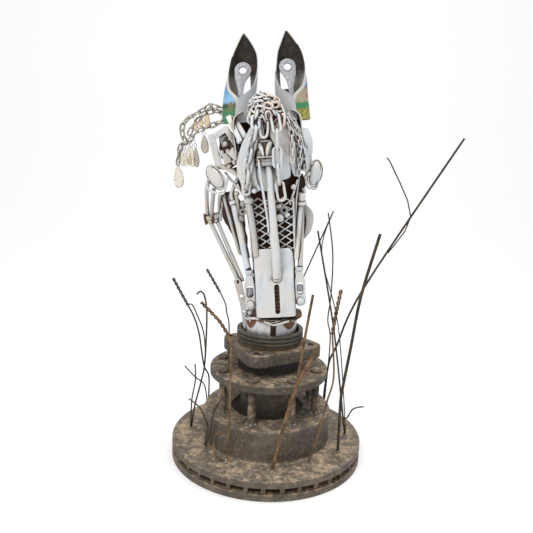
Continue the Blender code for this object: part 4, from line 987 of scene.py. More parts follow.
bar = [(-60, 74), (-66, 68), (-58, 27), (-55, -14), (-47, -14), (-48, 27), (-53, 66)]
bar_plate = slab(bar, 4.0, upright(-20.0), 0.7, 2)
bar_holes = []
for u, w, radius in ((-60.0, 66.0, 3.0), (-55.0, 42.0, 3.0), (-52.5, 16.0, 2.4)):
    bar_holes.append(turned([(0, -9), (radius, -9), (radius, 9), (0, 9)], 20,
                     at((u, -18, w)) @ about("X", pi / 2)))
piece("jaw_bar", cut(bar_plate, *bar_holes), WORN, "jaw_bar_left")

strap_path = [(-58, 2, 196), (-71, 8, 196), (-80, 22, 186), (-85, 34, 172), (-88, 40, 160)]


def strap_place(across, along):
    u, v, w = curve_through(strap_path, along)
    wide = 6.0 - 3.5 * along
    return Vector((u + (across - 0.5) * 2 * wide * (0.3 + 0.7 * along), v,
                   w + (across - 0.5) * 2 * wide))


piece("jaw_strap", sheet(6, 30, strap_place, 2.0), WHITE, "jaw_strap_left", crease=55)
leaf_rows = [(46, 184), (55, 183), (64, 174), (67, 163), (65, 150), (60, 138), (47, 124)]
outer = [tuple(curve_through(leaf_rows, step / 24)) for step in range(25)]
inner = [(47, 124), (52, 138), (55, 158), (52, 172), (46, 184)]
outline = outer + [tuple(curve_through(inner, step / 10)) for step in range(1, 10)]
piece("leaf_blade", slab(outline, 2.0, upright(0.0), 0.5, 2), WORN, "leaf_plate_right")

# %% [markdown]
# ## Forehead and temples
# Flat plates fall back from the middle of the forehead. Between them sits a banded motor,
# with two small hooks over it and a light plate below it. The temples are offcuts: square
# tube, an angle bracket, flat bar and a curved cover.

# %% Forehead
BROW_TURN = atan(0.43)
SPREAD = 1.0 / cos(BROW_TURN)


def brow(side):
    return upright(-54.0, side * BROW_TURN)


BROW_SHEET = 3.0
left_outline = [(-8, 320), (-14, 326), (-31, 298), (-40, 283), (-46, 267), (-50, 254), (-50, 241),
                (-46, 226), (-39, 216), (-31, 210), (-24, 208), (-14, 214), (-19, 222), (-21, 232),
                (-22, 262), (-17, 280), (-5, 290)]
outline = [(u * SPREAD, w) for u, w in left_outline]
piece("brow_plate_left", slab(outline, BROW_SHEET, brow(-1), 0.8, 2), WHITE, "forehead_plate_left")
right_outline = [(4, 292), (10, 278), (10, 232), (14, 227), (20, 226), (28, 228), (32, 231),
                 (34, 260), (34, 292), (26, 320), (6, 320)]
outline = [(u * SPREAD, w) for u, w in right_outline]
piece("brow_plate_right", slab(outline, BROW_SHEET, brow(1), 0.8, 2), WHITE, "forehead_plate_right")
oval = []
for step in range(64):
    angle = tau * step / 64
    oval.append((44.0 + 9.5 * cos(angle), 262.0 + 32.0 * sin(angle)))
oval_plate = slab(oval, BROW_SHEET, brow(1) @ at((0, 0, -0.8)), 0.7, 2)
oval_slots = []
for height in (258.0, 276.0):
    slot_shape = [(41.4, height - 4), (43.8, height - 4), (43.8, height + 4), (41.4, height + 4)]
    oval_slots.append(slab(slot_shape, 20.0, brow(1) @ at((0, 0, -9))))
piece("oval_plate", cut(oval_plate, *oval_slots), WHITE, "oval_plate_right")

# %% Motor and hooks
motor = turned([
    (0, 248), (14, 248), (15.6, 249), (16.5, 250.4), (16.5, 254), (15.6, 254.6), (15.6, 256),
    (16.5, 256.6), (16.5, 260), (15.6, 261.4), (14.5, 262), (14.5, 272), (13.9, 272.4), (13.9, 274),
    (14.5, 274.4), (14.5, 282), (13.6, 284.6), (11.5, 287), (0, 287),
], 48, at((-5, -37, 0)))
piece("motor_can", motor, WORN, "brow_motor", slot="valve")
hooks = joined(
    bent([(-13, -50, 281), (-10, -56, 274), (-8, -57, 266), (-7, -54, 262)], [3.6, 3.2, 2.2, 1.0],
         14),
    bent([(3, -50, 282), (0, -56, 275), (-2, -57, 267), (-2, -54, 262)], [3.8, 3.4, 2.4, 1.0], 14),
    bent([(-18, -47, 284), (-5, -52, 285), (8, -47, 284)], 1.6, 12),
    bent([(-17, -52, 262), (-5, -55.5, 262), (7, -52, 262)], 1.2, 12),
)
piece("brow_hooks", hooks, WHITE)
u_link = bent([(-12, -55, 314), (-11, -57, 300), (-9, -58.5, 292), (-5, -59, 290), (-1, -58.5, 293),
               (1, -57, 301), (2, -55, 313)], 2.0, 14)
piece("brow_u_link", u_link, WHITE)
backing = [(-24, 214), (-16, 211), (12, 209), (14, 250), (-24, 250)]
piece("brow_backing", slab(backing, 2.0, upright(-39.5), 0.5, 2), WHITE)

# %% Temples
def bar_between(start, end, wide, thick, edge):
    """A square-cornered bar, flat side to the front, with rounded edges."""
    start, end = Vector(start), Vector(end)
    run = end - start
    side = Vector((0.0, 1.0, 0.0)).cross(run).normalized()
    back = run.cross(side).normalized()
    bm = bmesh.new()
    bmesh.ops.create_cube(bm, size=1.0)
    bmesh.ops.scale(bm, vec=(wide, thick, run.length), verts=bm.verts)
    bmesh.ops.bevel(bm, geom=bm.edges[:], offset=edge, segments=2, profile=0.5,
                    affect="EDGES", material=-1, clamp_overlap=True)
    axes = Matrix((side, back, run.normalized())).transposed().to_4x4()
    laid(bm, at((start + end) / 2) @ axes)
    return bm


piece("temple_square_tubes", joined(
    bar_between((-59, -18, 325), (-41, -33, 285), 8.0, 8.0, 1.0),
    bar_between((-51, -16, 323), (-33, -31, 290), 8.0, 8.0, 1.0),
    bead((-44, -31, 287), 4.0), bead((-54, -17, 322), 4.0),
), WHITE, "temple_tubes")
bracket = [(-84, 300), (-79, 292), (-65, 301), (-53, 280), (-46, 284), (-60, 310), (-64, 312)]
piece("temple_angle", slab(bracket, 3.0, upright(-22.0), 0.6, 2), WHITE, "temple_bracket")
piece("temple_flat_bar", bar_between((-88, -14, 300), (-79, -4, 248), 11.0, 3.0, 0.7), WHITE,
      "temple_bar_left")
piece("brow_rusty_pipe", bent([(-80, 0, 250), (-64, -10, 246), (-44, -27, 232)], 4.3, 20), WORN,
      "brow_tube_left", slot="rust")
temple_bits = joined(
    bar_between((-67, -12, 270), (-63, -14, 254), 13.0, 7.0, 1.0),
    bar_between((-59, -22, 274), (-47, -30, 262), 13.0, 3.0, 0.6),
    bar_between((55, -22, 274), (67, -8, 246), 6.0, 3.0, 0.6),
    bead((-62, -12, 250), 5.0), bead((-72, -10, 270), 5.5), bead((-52, -24, 256), 5.0),
)
piece("temple_offcuts", temple_bits, WORN)


def cover_place(across, up):
    u, w = curve_through([(63, 238), (68, 262), (69, 284), (63, 302)], up)
    return Vector((u - 14.0 * (1.0 - across) ** 2, -2.0 - 24.0 * (1.0 - across), w))


piece("temple_cover", sheet(20, 30, cover_place, 2.0), WHITE, "temple_cover_right", crease=50)

# %% [markdown]
# ## Eyes
# Each eye is the bowl of a spoon turned outwards. A thin wire runs round its rim and a bent
# rod frames it from below.

# %% Eyes
EYE_LONG = 19.5
EYE_WIDE = 12.5
EYE_BULGE = 7.0
EYE_RIM = 2.0


def make_eye(word, side, centre, top, bottom, frame_rod):
    along = (Vector(top) - Vector(bottom)).normalized()
    face = Vector((side * 0.6, -0.8, 0.1))
    face = (face - along * face.dot(along)).normalized()
    axes = Matrix((along.cross(face), along, face)).transposed().to_4x4()
    lay = at(centre) @ axes
    dome = bmesh.new()
    bmesh.ops.create_uvsphere(dome, u_segments=40, v_segments=24, radius=1.0)
    low = [vert for vert in dome.verts if vert.co.z < -0.05]
    bmesh.ops.delete(dome, geom=low, context="VERTS")
    bmesh.ops.scale(dome, vec=(EYE_WIDE, EYE_LONG, EYE_BULGE), verts=dome.verts)
    bmesh.ops.solidify(dome, geom=dome.faces[:], thickness=1.2)
    laid(dome, lay)
    piece(f"eye_bowl_{word}", dome, WHITE, f"eye_{word}")
    ring = []
    for step in range(48):
        angle = tau * step / 48
        spot = Vector(((EYE_WIDE + EYE_RIM) * cos(angle),
                       (EYE_LONG + EYE_RIM) * sin(angle),
                       0.8 + 0.6 * sin(3 * angle)))
        ring.append(lay @ spot)
    frame_wires = joined(
        pipes([(ring, 1.0)], 10, True), bent(frame_rod, 1.8, 14),
        bead(frame_rod[0], 2.6), bead(frame_rod[-1], 2.8),
    )
    piece(f"eye_wires_{word}", frame_wires, WHITE, f"eye_frame_{word}", crease=60)


make_eye("left", -1, (-86, 0, 233), (-95, 0, 249), (-77, 0, 215),
         [(-101, 0, 223), (-99, 0, 214), (-90, -2, 210), (-78, -5, 207), (-73, -8, 211),
          (-66, -10, 231)])
make_eye("right", 1, (71, 0, 232), (74, 0, 250), (66, 0, 212),
         [(56, -10, 228), (57, -8, 215), (60, -5, 210), (66, -2, 208), (73, 0, 209), (79, 0, 231)])
arc = bent([(70, 0, 251), (77, 0, 252), (82, 0, 244), (81, 0, 236)], 1.3, 12)
piece("eye_arc_right", arc, WORN)

# %% [markdown]
# ## Ears
# Each ear is one sheet rolled into a tall cup, its lapels crossing low at the front. The
# outside was a printed sheet and keeps broad areas of sky, hill and field in its own simple
# design. The lapels and the inside are bare, so the sheet carries three attributes: how far
# round the roll a point lies, how high up it is, and how far it is from the sheet's edge.
# A row of the table is height, centre, radius and how far round the sheet reaches in degrees.

# %% Ear rows
EAR_ROWS = {
    -1: [(315.0, -45.0, 25.0, 188.0), (347.0, -42.0, 24.5, 184.0), (366.0, -39.0, 23.5, 140.0),
         (385.0, -35.0, 22.0, 112.0), (402.0, -32.0, 20.5, 98.0), (418.0, -30.0, 17.0, 92.0),
         (434.0, -29.5, 9.3, 88.0), (447.0, -30.0, 0.9, 85.0)],
    1: [(315.0, 42.0, 24.0, 188.0), (347.0, 40.0, 24.0, 184.0), (366.0, 39.0, 24.0, 140.0),
        (385.0, 39.0, 22.5, 112.0), (402.0, 39.5, 20.5, 98.0), (418.0, 38.5, 17.0, 92.0),
        (434.0, 37.0, 9.3, 88.0), (448.0, 35.0, 0.9, 85.0)],
}

EAR_FOOT = 315.0
EAR_TALL = 133.0
EAR_DEPTH = 6.0
EAR_FLAT = 0.8


def ear_place(side, across, up):
    height, centre, radius, reach = curve_through(EAR_ROWS[side], up)
    angle = radians((2.0 * across - 1.0) * reach)
    lap = max(0.0, -side * angle - pi / 2) / (pi / 2)
    radius += 4.2 * lap * min(1.0, radius / 20.0)
    dent = noise.noise(Vector((2.5 * across, height / 30.0, side * 5.0)))
    radius += 0.7 * dent * min(1.0, radius / 20)
    return Vector((centre + radius * sin(angle),
                   EAR_DEPTH + radius * EAR_FLAT * cos(angle), height))


# %% Printed sheet
def ear_finishes(word, side):
    outside = Finish(f"ear_print_{word}", Metallic=0.0)
    up = outside.stored("ear_up")
    turn = outside.stored("ear_round")
    level = up + (outside.cloud(90, 4, 0.6) - 0.5) * 0.08
    small = outside.cloud(260, 3, 0.6)
    blots = outside.cloud(110, 3, shift=(2, 2, 9))
    if side < 0:
        skyline = level
        hill = outside.blend(outside.ease(blots, 0.42, 0.58), (0.02, 0.075, 0.035),
                             (0.17, 0.13, 0.055))
        field = outside.blend(small, (0.02, 0.16, 0.09), (0.08, 0.30, 0.12))
    else:
        skyline = level - (turn - 0.5) * 0.5 - 0.06
        hill = outside.blend(small, (0.30, 0.25, 0.15), (0.44, 0.38, 0.27))
        red = outside.ease(blots, 0.54, 0.60) * (1 - outside.ease(turn, 0.66, 0.74))
        hill = outside.blend(red, hill, (0.36, 0.04, 0.12))
        field = outside.blend(outside.ease(small, 0.4, 0.6), (0.13, 0.15, 0.03), (0.46, 0.40, 0.09))
        band = outside.ease(level, 0.075, 0.085)
        field = outside.blend(band, field, (0.035, 0.22, 0.09))
    picture = outside.blend(outside.ease(level, 0.055 if side < 0 else 0.105, 0.125), field, hill)
    sky = outside.blend(outside.ease(level, 0.12, 0.36), (0.26, 0.48, 0.70), (0.02, 0.17, 0.48))
    picture = outside.blend(outside.ease(skyline + small * 0.05, 0.145, 0.175), picture, sky)
    grey = outside.blend(outside.cloud(45, 4), (0.38, 0.395, 0.42), (0.54, 0.55, 0.56))
    beige = outside.blend(outside.cloud(45, 4), (0.52, 0.50, 0.46), (0.64, 0.59, 0.51))
    bare_tone = outside.blend(outside.ease(turn, 0.0, 0.02), grey, beige)
    square = level * level
    lapel = outside.ease(turn + square * (2.3 if side < 0 else 1.6), 0.99, 1.005)
    lapel = lapel.most(1 - outside.ease(outside.stored("ear_edge"), 6.0, 7.0))
    inner_edge = 1 - outside.ease(turn, -0.12, -0.08)
    bare = lapel.most(inner_edge).most(outside.ease(level, 0.60, 0.63))
    worn = outside.ease(outside.cloud(170, 5, 0.7), 0.62, 0.72)
    colour = outside.blend(bare.most(worn * 0.7), picture, bare_tone)
    outside.wear(colour, 0.38 + small * 0.2, None, small, 0.12)

    inside = Finish(f"ear_inside_{word}", Metallic=0.15)
    grain = inside.cloud(150, 5, 0.7)
    broad = inside.cloud(40, 4)
    high = inside.ease(inside.stored("ear_up") + (broad - 0.5) * 0.2, 0.34, 0.50)
    low_tone = inside.blend(broad, (0.34, 0.33, 0.32), (0.50, 0.46, 0.40))
    high_tone = inside.blend(inside.ease(grain, 0.4, 0.7), (0.022, 0.018, 0.015),
                             (0.085, 0.065, 0.045))
    colour = inside.blend(high, low_tone, high_tone)
    inside.wear(colour, 0.55 + grain * 0.3, None, grain, 0.2)
    return outside.material, inside.material


# %% Rolled sheets
EAR_WINDOWS = {-1: (-45.0, -24.0, 352.0, 404.0), 1: (23.0, 43.5, 356.0, 406.0)}

def roll_ear(word, side):
    bm = bmesh.new()
    bmesh.ops.create_grid(bm, x_segments=84, y_segments=72, size=0.5)
    bmesh.ops.translate(bm, vec=(0.5, 0.5, 0.0), verts=bm.verts)
    near, far, low, high = EAR_WINDOWS[side]

    def window(share):
        """Below 1 inside the window in the back of the roll."""
        spot = ear_place(side, share.x, share.y)
        if spot.y < 8.0:
            return 9.0
        across = abs(2.0 * spot.x - near - far) / (far - near)
        rise = abs(2.0 * spot.z - low - high) / (high - low)
        return across ** 3 + rise ** 3

    inside = [face for face in bm.faces if window(face.calc_center_median()) < 1.0]
    heart = sum((face.calc_center_median() for face in inside), Vector()) / len(inside)
    rim = {vert for face in inside for vert in face.verts
           if any(other not in inside for other in vert.link_faces)}
    bmesh.ops.delete(bm, geom=inside, context="FACES")
    for vert in rim:
        if not vert.is_valid:
            continue
        arm = vert.co - heart
        small, large = 0.2, 2.0
        for _ in range(18):
            middle = (small + large) / 2
            if window(heart + arm * middle) < 1.0:
                small = middle
            else:
                large = middle
        vert.co = heart + arm * small
    up_layer = bm.verts.layers.float.new("ear_up")
    round_layer = bm.verts.layers.float.new("ear_round")
    edge_layer = bm.verts.layers.float.new("ear_edge")
    for vert in bm.verts:
        across, up = vert.co.x, vert.co.y
        _, _, radius, reach = curve_through(EAR_ROWS[side], up)
        turn = (2.0 * across - 1.0) * reach
        vert[up_layer] = up
        vert[round_layer] = side * turn / 180.0
        vert[edge_layer] = radius * radians(reach - abs(turn))
        vert.co = ear_place(side, across, up)
    bmesh.ops.recalc_face_normals(bm, faces=bm.faces)
    bmesh.ops.solidify(bm, geom=bm.faces[:], thickness=1.4)
    printed, bare = ear_finishes(word, side)
    made = piece(f"ear_roll_{word}", bm, printed, f"ear_sheet_{word}", crease=60, slot="ear")
    made.data.materials.append(bare)
    for polygon in made.data.polygons:
        local = HEAD.inverted() @ polygon.center
        share = (local.z - EAR_FOOT) / EAR_TALL
        centre = Vector((curve_through(EAR_ROWS[side], share)[1], EAR_DEPTH, local.z))
        outward = (HEAD.to_3x3() @ (local - centre)).dot(polygon.normal) > 0
        polygon.material_index = 0 if outward else 1


# %% Levers
LEVER_TOPS = {-1: (-34.0, 4.0, 394.0), 1: (34.5, 4.0, 396.0)}
LEVER_FEET = {-1: (-6.0, -66.0), 1: (5.0, -66.0)}
LEVER_HEAD = 13.0
LEVER_HOLE = 5.6
LEVER_INNER = [(0.09, 11.8), (0.17, 8.8), (0.25, 5.6), (0.33, 3.8), (0.49, 2.4), (0.75, 2.6),
               (1.0, 3.4)]
LEVER_OUTER = [(0.17, 12.2), (0.33, 9.2), (0.49, 5.8), (0.75, 4.2), (1.0, 3.6)]


def make_lever(word, side):
    foot = Vector(LEVER_FEET[side])
    run = foot.normalized()
    out = Vector((-run.y, run.x))
    outline = []
    for step in range(25):
        angle = pi * step / 24
        spot = LEVER_HEAD * (out * cos(angle) - run * sin(angle))
        outline.append((spot.x, spot.y))
    flank = LEVER_OUTER if side < 0 else LEVER_INNER
    outline += [tuple(foot * share - out * reach) for share, reach in flank]
    flank = LEVER_INNER if side < 0 else LEVER_OUTER
    outline += [tuple(foot * share + out * reach) for share, reach in reversed(flank)]
    plane = plane_at(LEVER_TOPS[side], (1.0, 0.0, 0.0), (0.0, 0.29, 1.0))
    hole = turned([(0, -9), (LEVER_HOLE, -9), (LEVER_HOLE, 9), (0, 9)], 32, plane)
    lever = cut(slab(outline, 3.0, plane, 0.8, 2), hole)
    rim = turned([(5.8, -0.9), (8.2, -0.6), (8.2, 0.4), (5.8, 0.4)], 36, plane)
    piece(f"ear_spoon_{word}", joined(lever, rim), LEVER, f"ear_lever_{word}", crease=35)


for word, side in (("left", -1), ("right", 1)):
    roll_ear(word, side)
    make_lever(word, side)
piece("ear_rust", joined(
    bead((32, 20, 359), 6.5, (1.3, 0.5, 0.9)), bead((-29, 19, 353), 5.0, (1.2, 0.5, 0.8)),
), RUST, crease=70)

# %% [markdown]
# ## Chains
# A link is a bar bent into a loop, so one link is a closed pipe. It is laid along a path
# again and again, a quarter turn each time, which is what makes links of a chain hang clear
# of each other. The heap over the poll is two short chains that cross it, and loose links
# spread over a mound by the golden angle.

# %% Links
def link_run(wire, pitch, width, bite=0.12):
    """The middle line of one link, along X."""
    reach = (pitch + wire * (1 - bite)) / 2
    half = (width - wire) / 2
    straight = reach - half
    line = []
    for step in range(20):
        angle = tau * step / 20
        push = max(straight, 0.0) * (1 if cos(angle) >= 0 else -1)
        line.append((push + half * cos(angle), half * sin(angle), 0.0))
    return line


def chain(path, pitch, wire, width, turn=0.0, sides=8, sway=0.0):
    """Links that fill a smooth path."""
    dense, _ = smooth_run(path, 1.0, 10)
    points = [Vector(point) for point in dense]
    lengths = [(b - a).length for a, b in zip(points, points[1:])]
    count = max(1, round(sum(lengths) / pitch))
    step_length = sum(lengths) / count
    template = pipes([(link_run(wire, step_length, width), wire / 2)], sides, True)
    parts = []
    for number in range(count):
        way = (number + 0.5) * step_length
        leg = 0
        while way > lengths[leg] and leg < len(lengths) - 1:
            way -= lengths[leg]
            leg += 1
        along = (points[min(leg + 2, len(points) - 1)] - points[max(leg - 1, 0)]).normalized()
        centre = points[leg] + (points[leg + 1] - points[leg]).normalized() * way
        side = along.cross(Vector((0.0, 1.0, 0.0)))
        if side.length < 0.2:
            side = along.cross(Vector((1.0, 0.0, 0.0)))
        side.normalize()
        roll = turn + number * pi / 2 + sway * sin(number * 2.1)
        side = Matrix.Rotation(roll, 3, along) @ side
        axes = Matrix((along, side, along.cross(side))).transposed().to_4x4()
        parts.append(laid(template.copy(), at(centre) @ axes))
    template.free()
    return joined(*parts)


# %% Forelock
HEAVY = {"pitch": 16.8, "wire": 4.8, "width": 16.4}
LONG = {"pitch": 24.0, "wire": 4.2, "width": 16.0}
strand = [(-36, -48, 209), (-34, -50, 233), (-29, -52, 262), (-22, -55, 286), (-17, -58, 308),
          (-15, -48, 328), (-5, -34, 346), (8, -30, 350)]
piece("forelock_left", chain(strand, turn=0.35, sides=10, **HEAVY), WHITE,
      "forelock_chain_left", crease=60)
strand = [(17, -56, 198), (14, -62, 230), (13, -64, 260), (14, -62, 300), (10, -52, 326),
          (2, -38, 338)]
piece("forelock_right", chain(strand, turn=0.0, sides=10, **LONG), WHITE,
      "forelock_chain_right", crease=60)


def tossed(count, centre, radii, first, wire, pitch, width):
    """Loose links over a mound, each turned its own way."""
    template = pipes([(link_run(wire, pitch, width), wire / 2)], 9, True)
    parts = []
    for number in range(count):
        angle = GOLDEN_ANGLE * number + first
        tilt = 1.45 * sqrt((number + 0.5) / count)
        outward = Vector((sin(tilt) * cos(angle), -cos(tilt), sin(tilt) * sin(angle)))
        place = Vector([middle + reach * share
                        for middle, reach, share in zip(centre, radii, outward)])
        spin = Matrix.Rotation(1.9 * number + first, 3, outward)
        along = spin @ outward.orthogonal().normalized()
        leaning = Matrix.Rotation(0.9 * sin(2.9 * number), 3, along) @ outward
        axes = Matrix((along, leaning.cross(along), leaning)).transposed().to_4x4()
        parts.append(laid(template.copy(), at(place) @ axes))
    template.free()
    return joined(*parts)


LOOSE = {"wire": 4.0, "pitch": 9.6, "width": 11.6}
poll_strands = [
    [(-20, -50, 320), (-13, -46, 333), (-2, -44, 337), (10, -46, 330), (19, -50, 316)],
    [(-24, -46, 314), (-18, -40, 330), (-9, -34, 343), (3, -32, 347), (14, -34, 342),
     (21, -38, 328)],
]
heap = []
for number, path in enumerate(poll_strands):
    heap.append(chain(path, turn=0.5 * number, sides=8, sway=0.5, **HEAVY))
heap.append(tossed(54, (-4, -30, 330), (21, 25, 25), 0.4, **LOOSE))
piece("poll_heap", joined(*heap), WHITE, crease=60)
blush_strand = [(8, -42, 344), (16, -44, 334), (21, -50, 320), (20, -54, 306)]
heap = [chain(blush_strand, turn=0.9, sides=8, sway=0.4, **HEAVY)]
heap.append(tossed(14, (5, -35, 330), (15, 24, 20), 2.0, **LOOSE))
piece("poll_heap_pink", joined(*heap), BLUSH, crease=60)

# %% Fine chain on the right brow
BROW_CHAIN = {"pitch": 9.5, "wire": 2.8, "width": 8.4}
THIN_CHAIN = {"pitch": 9.0, "wire": 2.4, "width": 7.8}
fine_right = [
    chain([(27, -44, 318), (33, -48, 304), (36, -48, 292), (36, -49, 274), (35, -49, 252)],
          turn=0.2, sway=0.3, **BROW_CHAIN),
    chain([(30, -42, 318), (40, -38, 306), (48, -34, 290), (52, -32, 272), (54, -30, 252),
           (55, -28, 238)], turn=0.7, sway=0.4, **THIN_CHAIN),
    chain([(38, -38, 308), (44, -38, 292), (47, -38, 270), (46, -40, 248), (44, -40, 232)],
          turn=0.1, sway=0.4, **THIN_CHAIN),
]
piece("brow_fine_chain", joined(*fine_right), WHITE, crease=60)
ribbons = joined(
    bar_between((31, -42, 324), (49, -32, 284), 5.0, 2.4, 0.6),
    bar_between((41, -36, 312), (62, -20, 268), 5.4, 2.4, 0.6),
    bar_between((50, -32, 276), (56, -24, 240), 5.0, 2.4, 0.6),
    bar_between((30, -38, 322), (42, -34, 312), 6.0, 3.0, 0.6),
)
piece("brow_ribbons", ribbons, WHITE, crease=50)

# %% [markdown]
# ## Mane
# Tarnished chain swings out from behind the left ear and carries pear-shaped glass drops,
# each turned from one profile, cut with flat facets and hung on a wire loop.

# %% Mane chains and drops
FINE = {"pitch": 10.6, "wire": 2.9, "width": 9.2}
lower_path = [(-60, -6, 322), (-91, 0, 312), (-109, 0, 306), (-124, 0, 292), (-138, 0, 283),
              (-145, 0, 256)]
upper_path = [(-66, 0, 336), (-86, 0, 343), (-100, 0, 337), (-118, 0, 329), (-131, 0, 318),
              (-134, 0, 304), (-129, 0, 288)]
third_path = [(-62, 2, 330), (-82, 4, 335), (-98, 4, 330), (-114, 4, 318), (-124, 2, 302)]
mane = joined(
    chain(lower_path, turn=0.3, sway=0.4, **FINE), chain(upper_path, turn=0.8, sway=0.4, **FINE),
    chain(third_path, turn=0.1, sway=0.5, **FINE),
)
piece("mane_links", mane, SILVER, "mane_chain", crease=60)


def glass_pear(top, length, radius):
    foot = top[2] - length
    profile = [
        (0.0, foot), (0.42 * radius, foot + 0.03 * length), (0.8 * radius, foot + 0.14 * length),
        (radius, foot + 0.34 * length), (0.80 * radius, foot + 0.64 * length),
        (0.34 * radius, foot + 0.95 * length), (0.0, foot + length),
    ]
    return turned(profile, 10, at((top[0], top[1], 0.0)) @ Matrix.Scale(0.62, 4, (0, 1, 0)))


drops = {
    "clear": (CLEAR, [
        ((-145, 0, 254), 35, 8.4), ((-131, 0, 272), 20, 4.6), ((-121.5, 0, 282), 31, 5.2),
        ((-137, 3, 277), 24, 4.4), ((-126, -3, 280), 27, 4.6),
    ]),
    "amber": (AMBER, [
        ((-113, 2, 323), 17, 4.4), ((-94, 2, 332), 20, 5.0), ((-104, 3, 328), 16, 4.4),
    ]),
    "smoky": (SMOKY, [((-100, -1, 299), 28, 6.6), ((-115, 0, 281), 31, 5.0)]),
}
loops = []
for tint, (finish, places) in drops.items():
    shapes = [glass_pear(top, length, radius) for top, length, radius in places]
    nodes = ("glass_drop",) if tint == "clear" else ()
    piece(f"drops_{tint}", joined(*shapes), finish, *nodes, crease=12)
    for top, length, radius in places:
        x, y, z = top
        eye = [(x + 2.0 * cos(tau * k / 12), y, z + 3.2 + 3.4 * sin(tau * k / 12))
               for k in range(12)]
        loops.append(pipes([(eye, 0.5)], 6, True))
        loops.append(bent([(x, y, z + 6.4), (x - 0.6, y, z + 9.0), (x + 0.4, y, z + 12.0)], 0.5, 6,
                          3))
piece("drop_loops", joined(*loops), SILVER, crease=60)

# %% [markdown]
# ## Wires
# Round the base stand bent wires like dry grass. Some are two strands twisted together at
# their tips, so the second strand is a helix about the first one's line.

# %% Twisted strands
def twisted(points, radius, pitch=16.0):
    """Two strands wound about a smooth line."""
    dense, _ = smooth_run(points, radius, 24)
    line = [Vector(point) for point in dense]
    strands = ([], [])
    way = 0.0
    for number, point in enumerate(line):
        ahead = (line[min(number + 1, len(line) - 1)] - line[max(number - 1, 0)]).normalized()
        if number:
            way += (point - line[number - 1]).length
        side = ahead.cross(Vector((0, 1, 0))).normalized()
        for half_turn, strand in enumerate(strands):
            roll = Matrix.Rotation(tau * way / pitch + pi * half_turn, 3, ahead)
            strand.append(tuple(point + roll @ side * radius))
    return pipes([(strand, 0.85 * radius) for strand in strands], 8)


# %% Bent wires and rods
THIN = 1.15
GRASS = 1.4
FOOT = DISC_HEIGHT + 0.5
wire_pieces = {
    "rear": ("wire_left_rear", WIRE, [
        bent([(-112, 105, FOOT), (-108, 70, 100), (-112, 20, 142), (-121, 20, 198), (-130, 20, 227),
              (-141, 20, 248)], GRASS, 12),
        twisted([(-141, 20, 248), (-150, 20, 264), (-166, 20, 293)], 1.5),
        bent([(-114, 105, FOOT), (-116, 70, 84), (-129, 40, 111), (-148, 40, 131)], THIN, 12),
        bent([(-141, 20, 248), (-133, 20, 248), (-124, 20, 229), (-114, 20, 203), (-110, 20, 172),
              (-111, 24, 142)], THIN, 12),
    ]),
    "side": ("wire_left_side", WIRE, [
        bent([(-130, 4, FOOT), (-125, 2, 71), (-114, 0, 119), (-108, 0, 155), (-106, 0, 235),
              (-110, 0, 268), (-117, 0, 277), (-123, 0, 272)], GRASS, 12),
        bent([(-131, 2, FOOT), (-128, -10, 89), (-121, -20, 130), (-122, -20, 158)], THIN, 12),
    ]),
    "front": ("wire_left_front", WIRE, [
        bent([(-100, -60, FOOT), (-94, -66, 67), (-97, -70, 82), (-106, -75, 106),
              (-124, -75, 121)], THIN, 12),
        bent([(-98, -61, FOOT), (-90, -70, 62), (-84, -75, 100), (-72, -82, 125)], THIN, 12),
    ]),
    "rusty": ("wire_left_rusty", WIRE_RUST, [
        bent([(-60, -99, FOOT), (-57, -105, 104), (-57, -105, 154), (-57, -105, 220),
              (-62, -105, 238)], GRASS, 12),
        twisted([(-62, -105, 238), (-75, -105, 258), (-88, -105, 272), (-103, -105, 287)], 1.6),
        bent([(-62, -100, FOOT), (-71, -108, 37), (-77, -110, 47), (-80, -110, 74),
              (-66, -112, 89)], THIN, 12),
    ]),
    "tall": (None, WIRE, [
        bent([(-74, 40, FOOT + 52), (-71, 40, 198), (-76, 40, 231), (-79, 40, 248), (-89, 40, 268)],
             THIN, 12),
        twisted([(-89, 40, 268), (-96, 40, 280), (-112, 40, 307)], 1.4),
    ]),
    "long": ("rod_right_long", WIRE, [
        bent([(104, 96, FOOT), (110, 92, 123), (123, 90, 163), (165, 90, 273), (318, 90, 541)], 1.9,
             14),
        bent([(203, 90, 338), (238, 90, 404), (201, 86, 485), (188, 84, 504)], THIN, 12, 3),
        bent([(106, 94, FOOT), (110, 84, 170), (103, 80, 214), (106, 80, 258), (105, 80, 334),
              (93, 80, 406)], THIN, 12),
    ]),
    "thick": ("rod_right_thick", WIRE, [
        bent([(118, -58, FOOT), (115, -78, 131), (117, -80, 156), (125, -80, 219), (135, -80, 299),
              (157, -80, 395)], 2.3, 14),
    ]),
    "right": ("wire_right", WIRE, [
        bent([(136, 2, FOOT), (117, -50, 135), (107, -50, 199), (99, -50, 244), (86, -50, 306),
              (67, -50, 392)], GRASS, 12),
        bent([(137, 3, FOOT), (128, -20, 72), (133, -35, 81), (141, -40, 99), (158, -40, 104)],
             THIN, 12),
        bent([(138, 4, FOOT), (112, -8, 230), (78, -10, 350), (93, -10, 419)], 0.9, 10),
        bent([(93, -10, 419), (48, -10, 303)], 1.1, 10),
    ]),
    "right_rusty": ("wire_right_rusty", WIRE_RUST, [
        bent([(67, -103, FOOT), (78, -108, 77), (90, -110, 140), (98, -110, 181), (92, -110, 248)],
             GRASS, 12),
        twisted([(92, -110, 248), (96, -110, 282), (101, -110, 315)], 1.7),
    ]),
    "front_rod": ("rod_front", WIRE_RUST, [
        bent([(11, -127, FOOT), (22, -126, 86), (42, -125, 167), (72, -125, 233)], 2.7, 14),
        bent([(42, -123, 164), (45, -118, 186), (51, -118, 239), (60, -118, 308)], 2.0, 14),
    ]),
}
for word, (node, finish, parts) in wire_pieces.items():
    piece(f"grass_{word}", joined(*parts), finish, *([node] if node else []), crease=60, space=BASE)

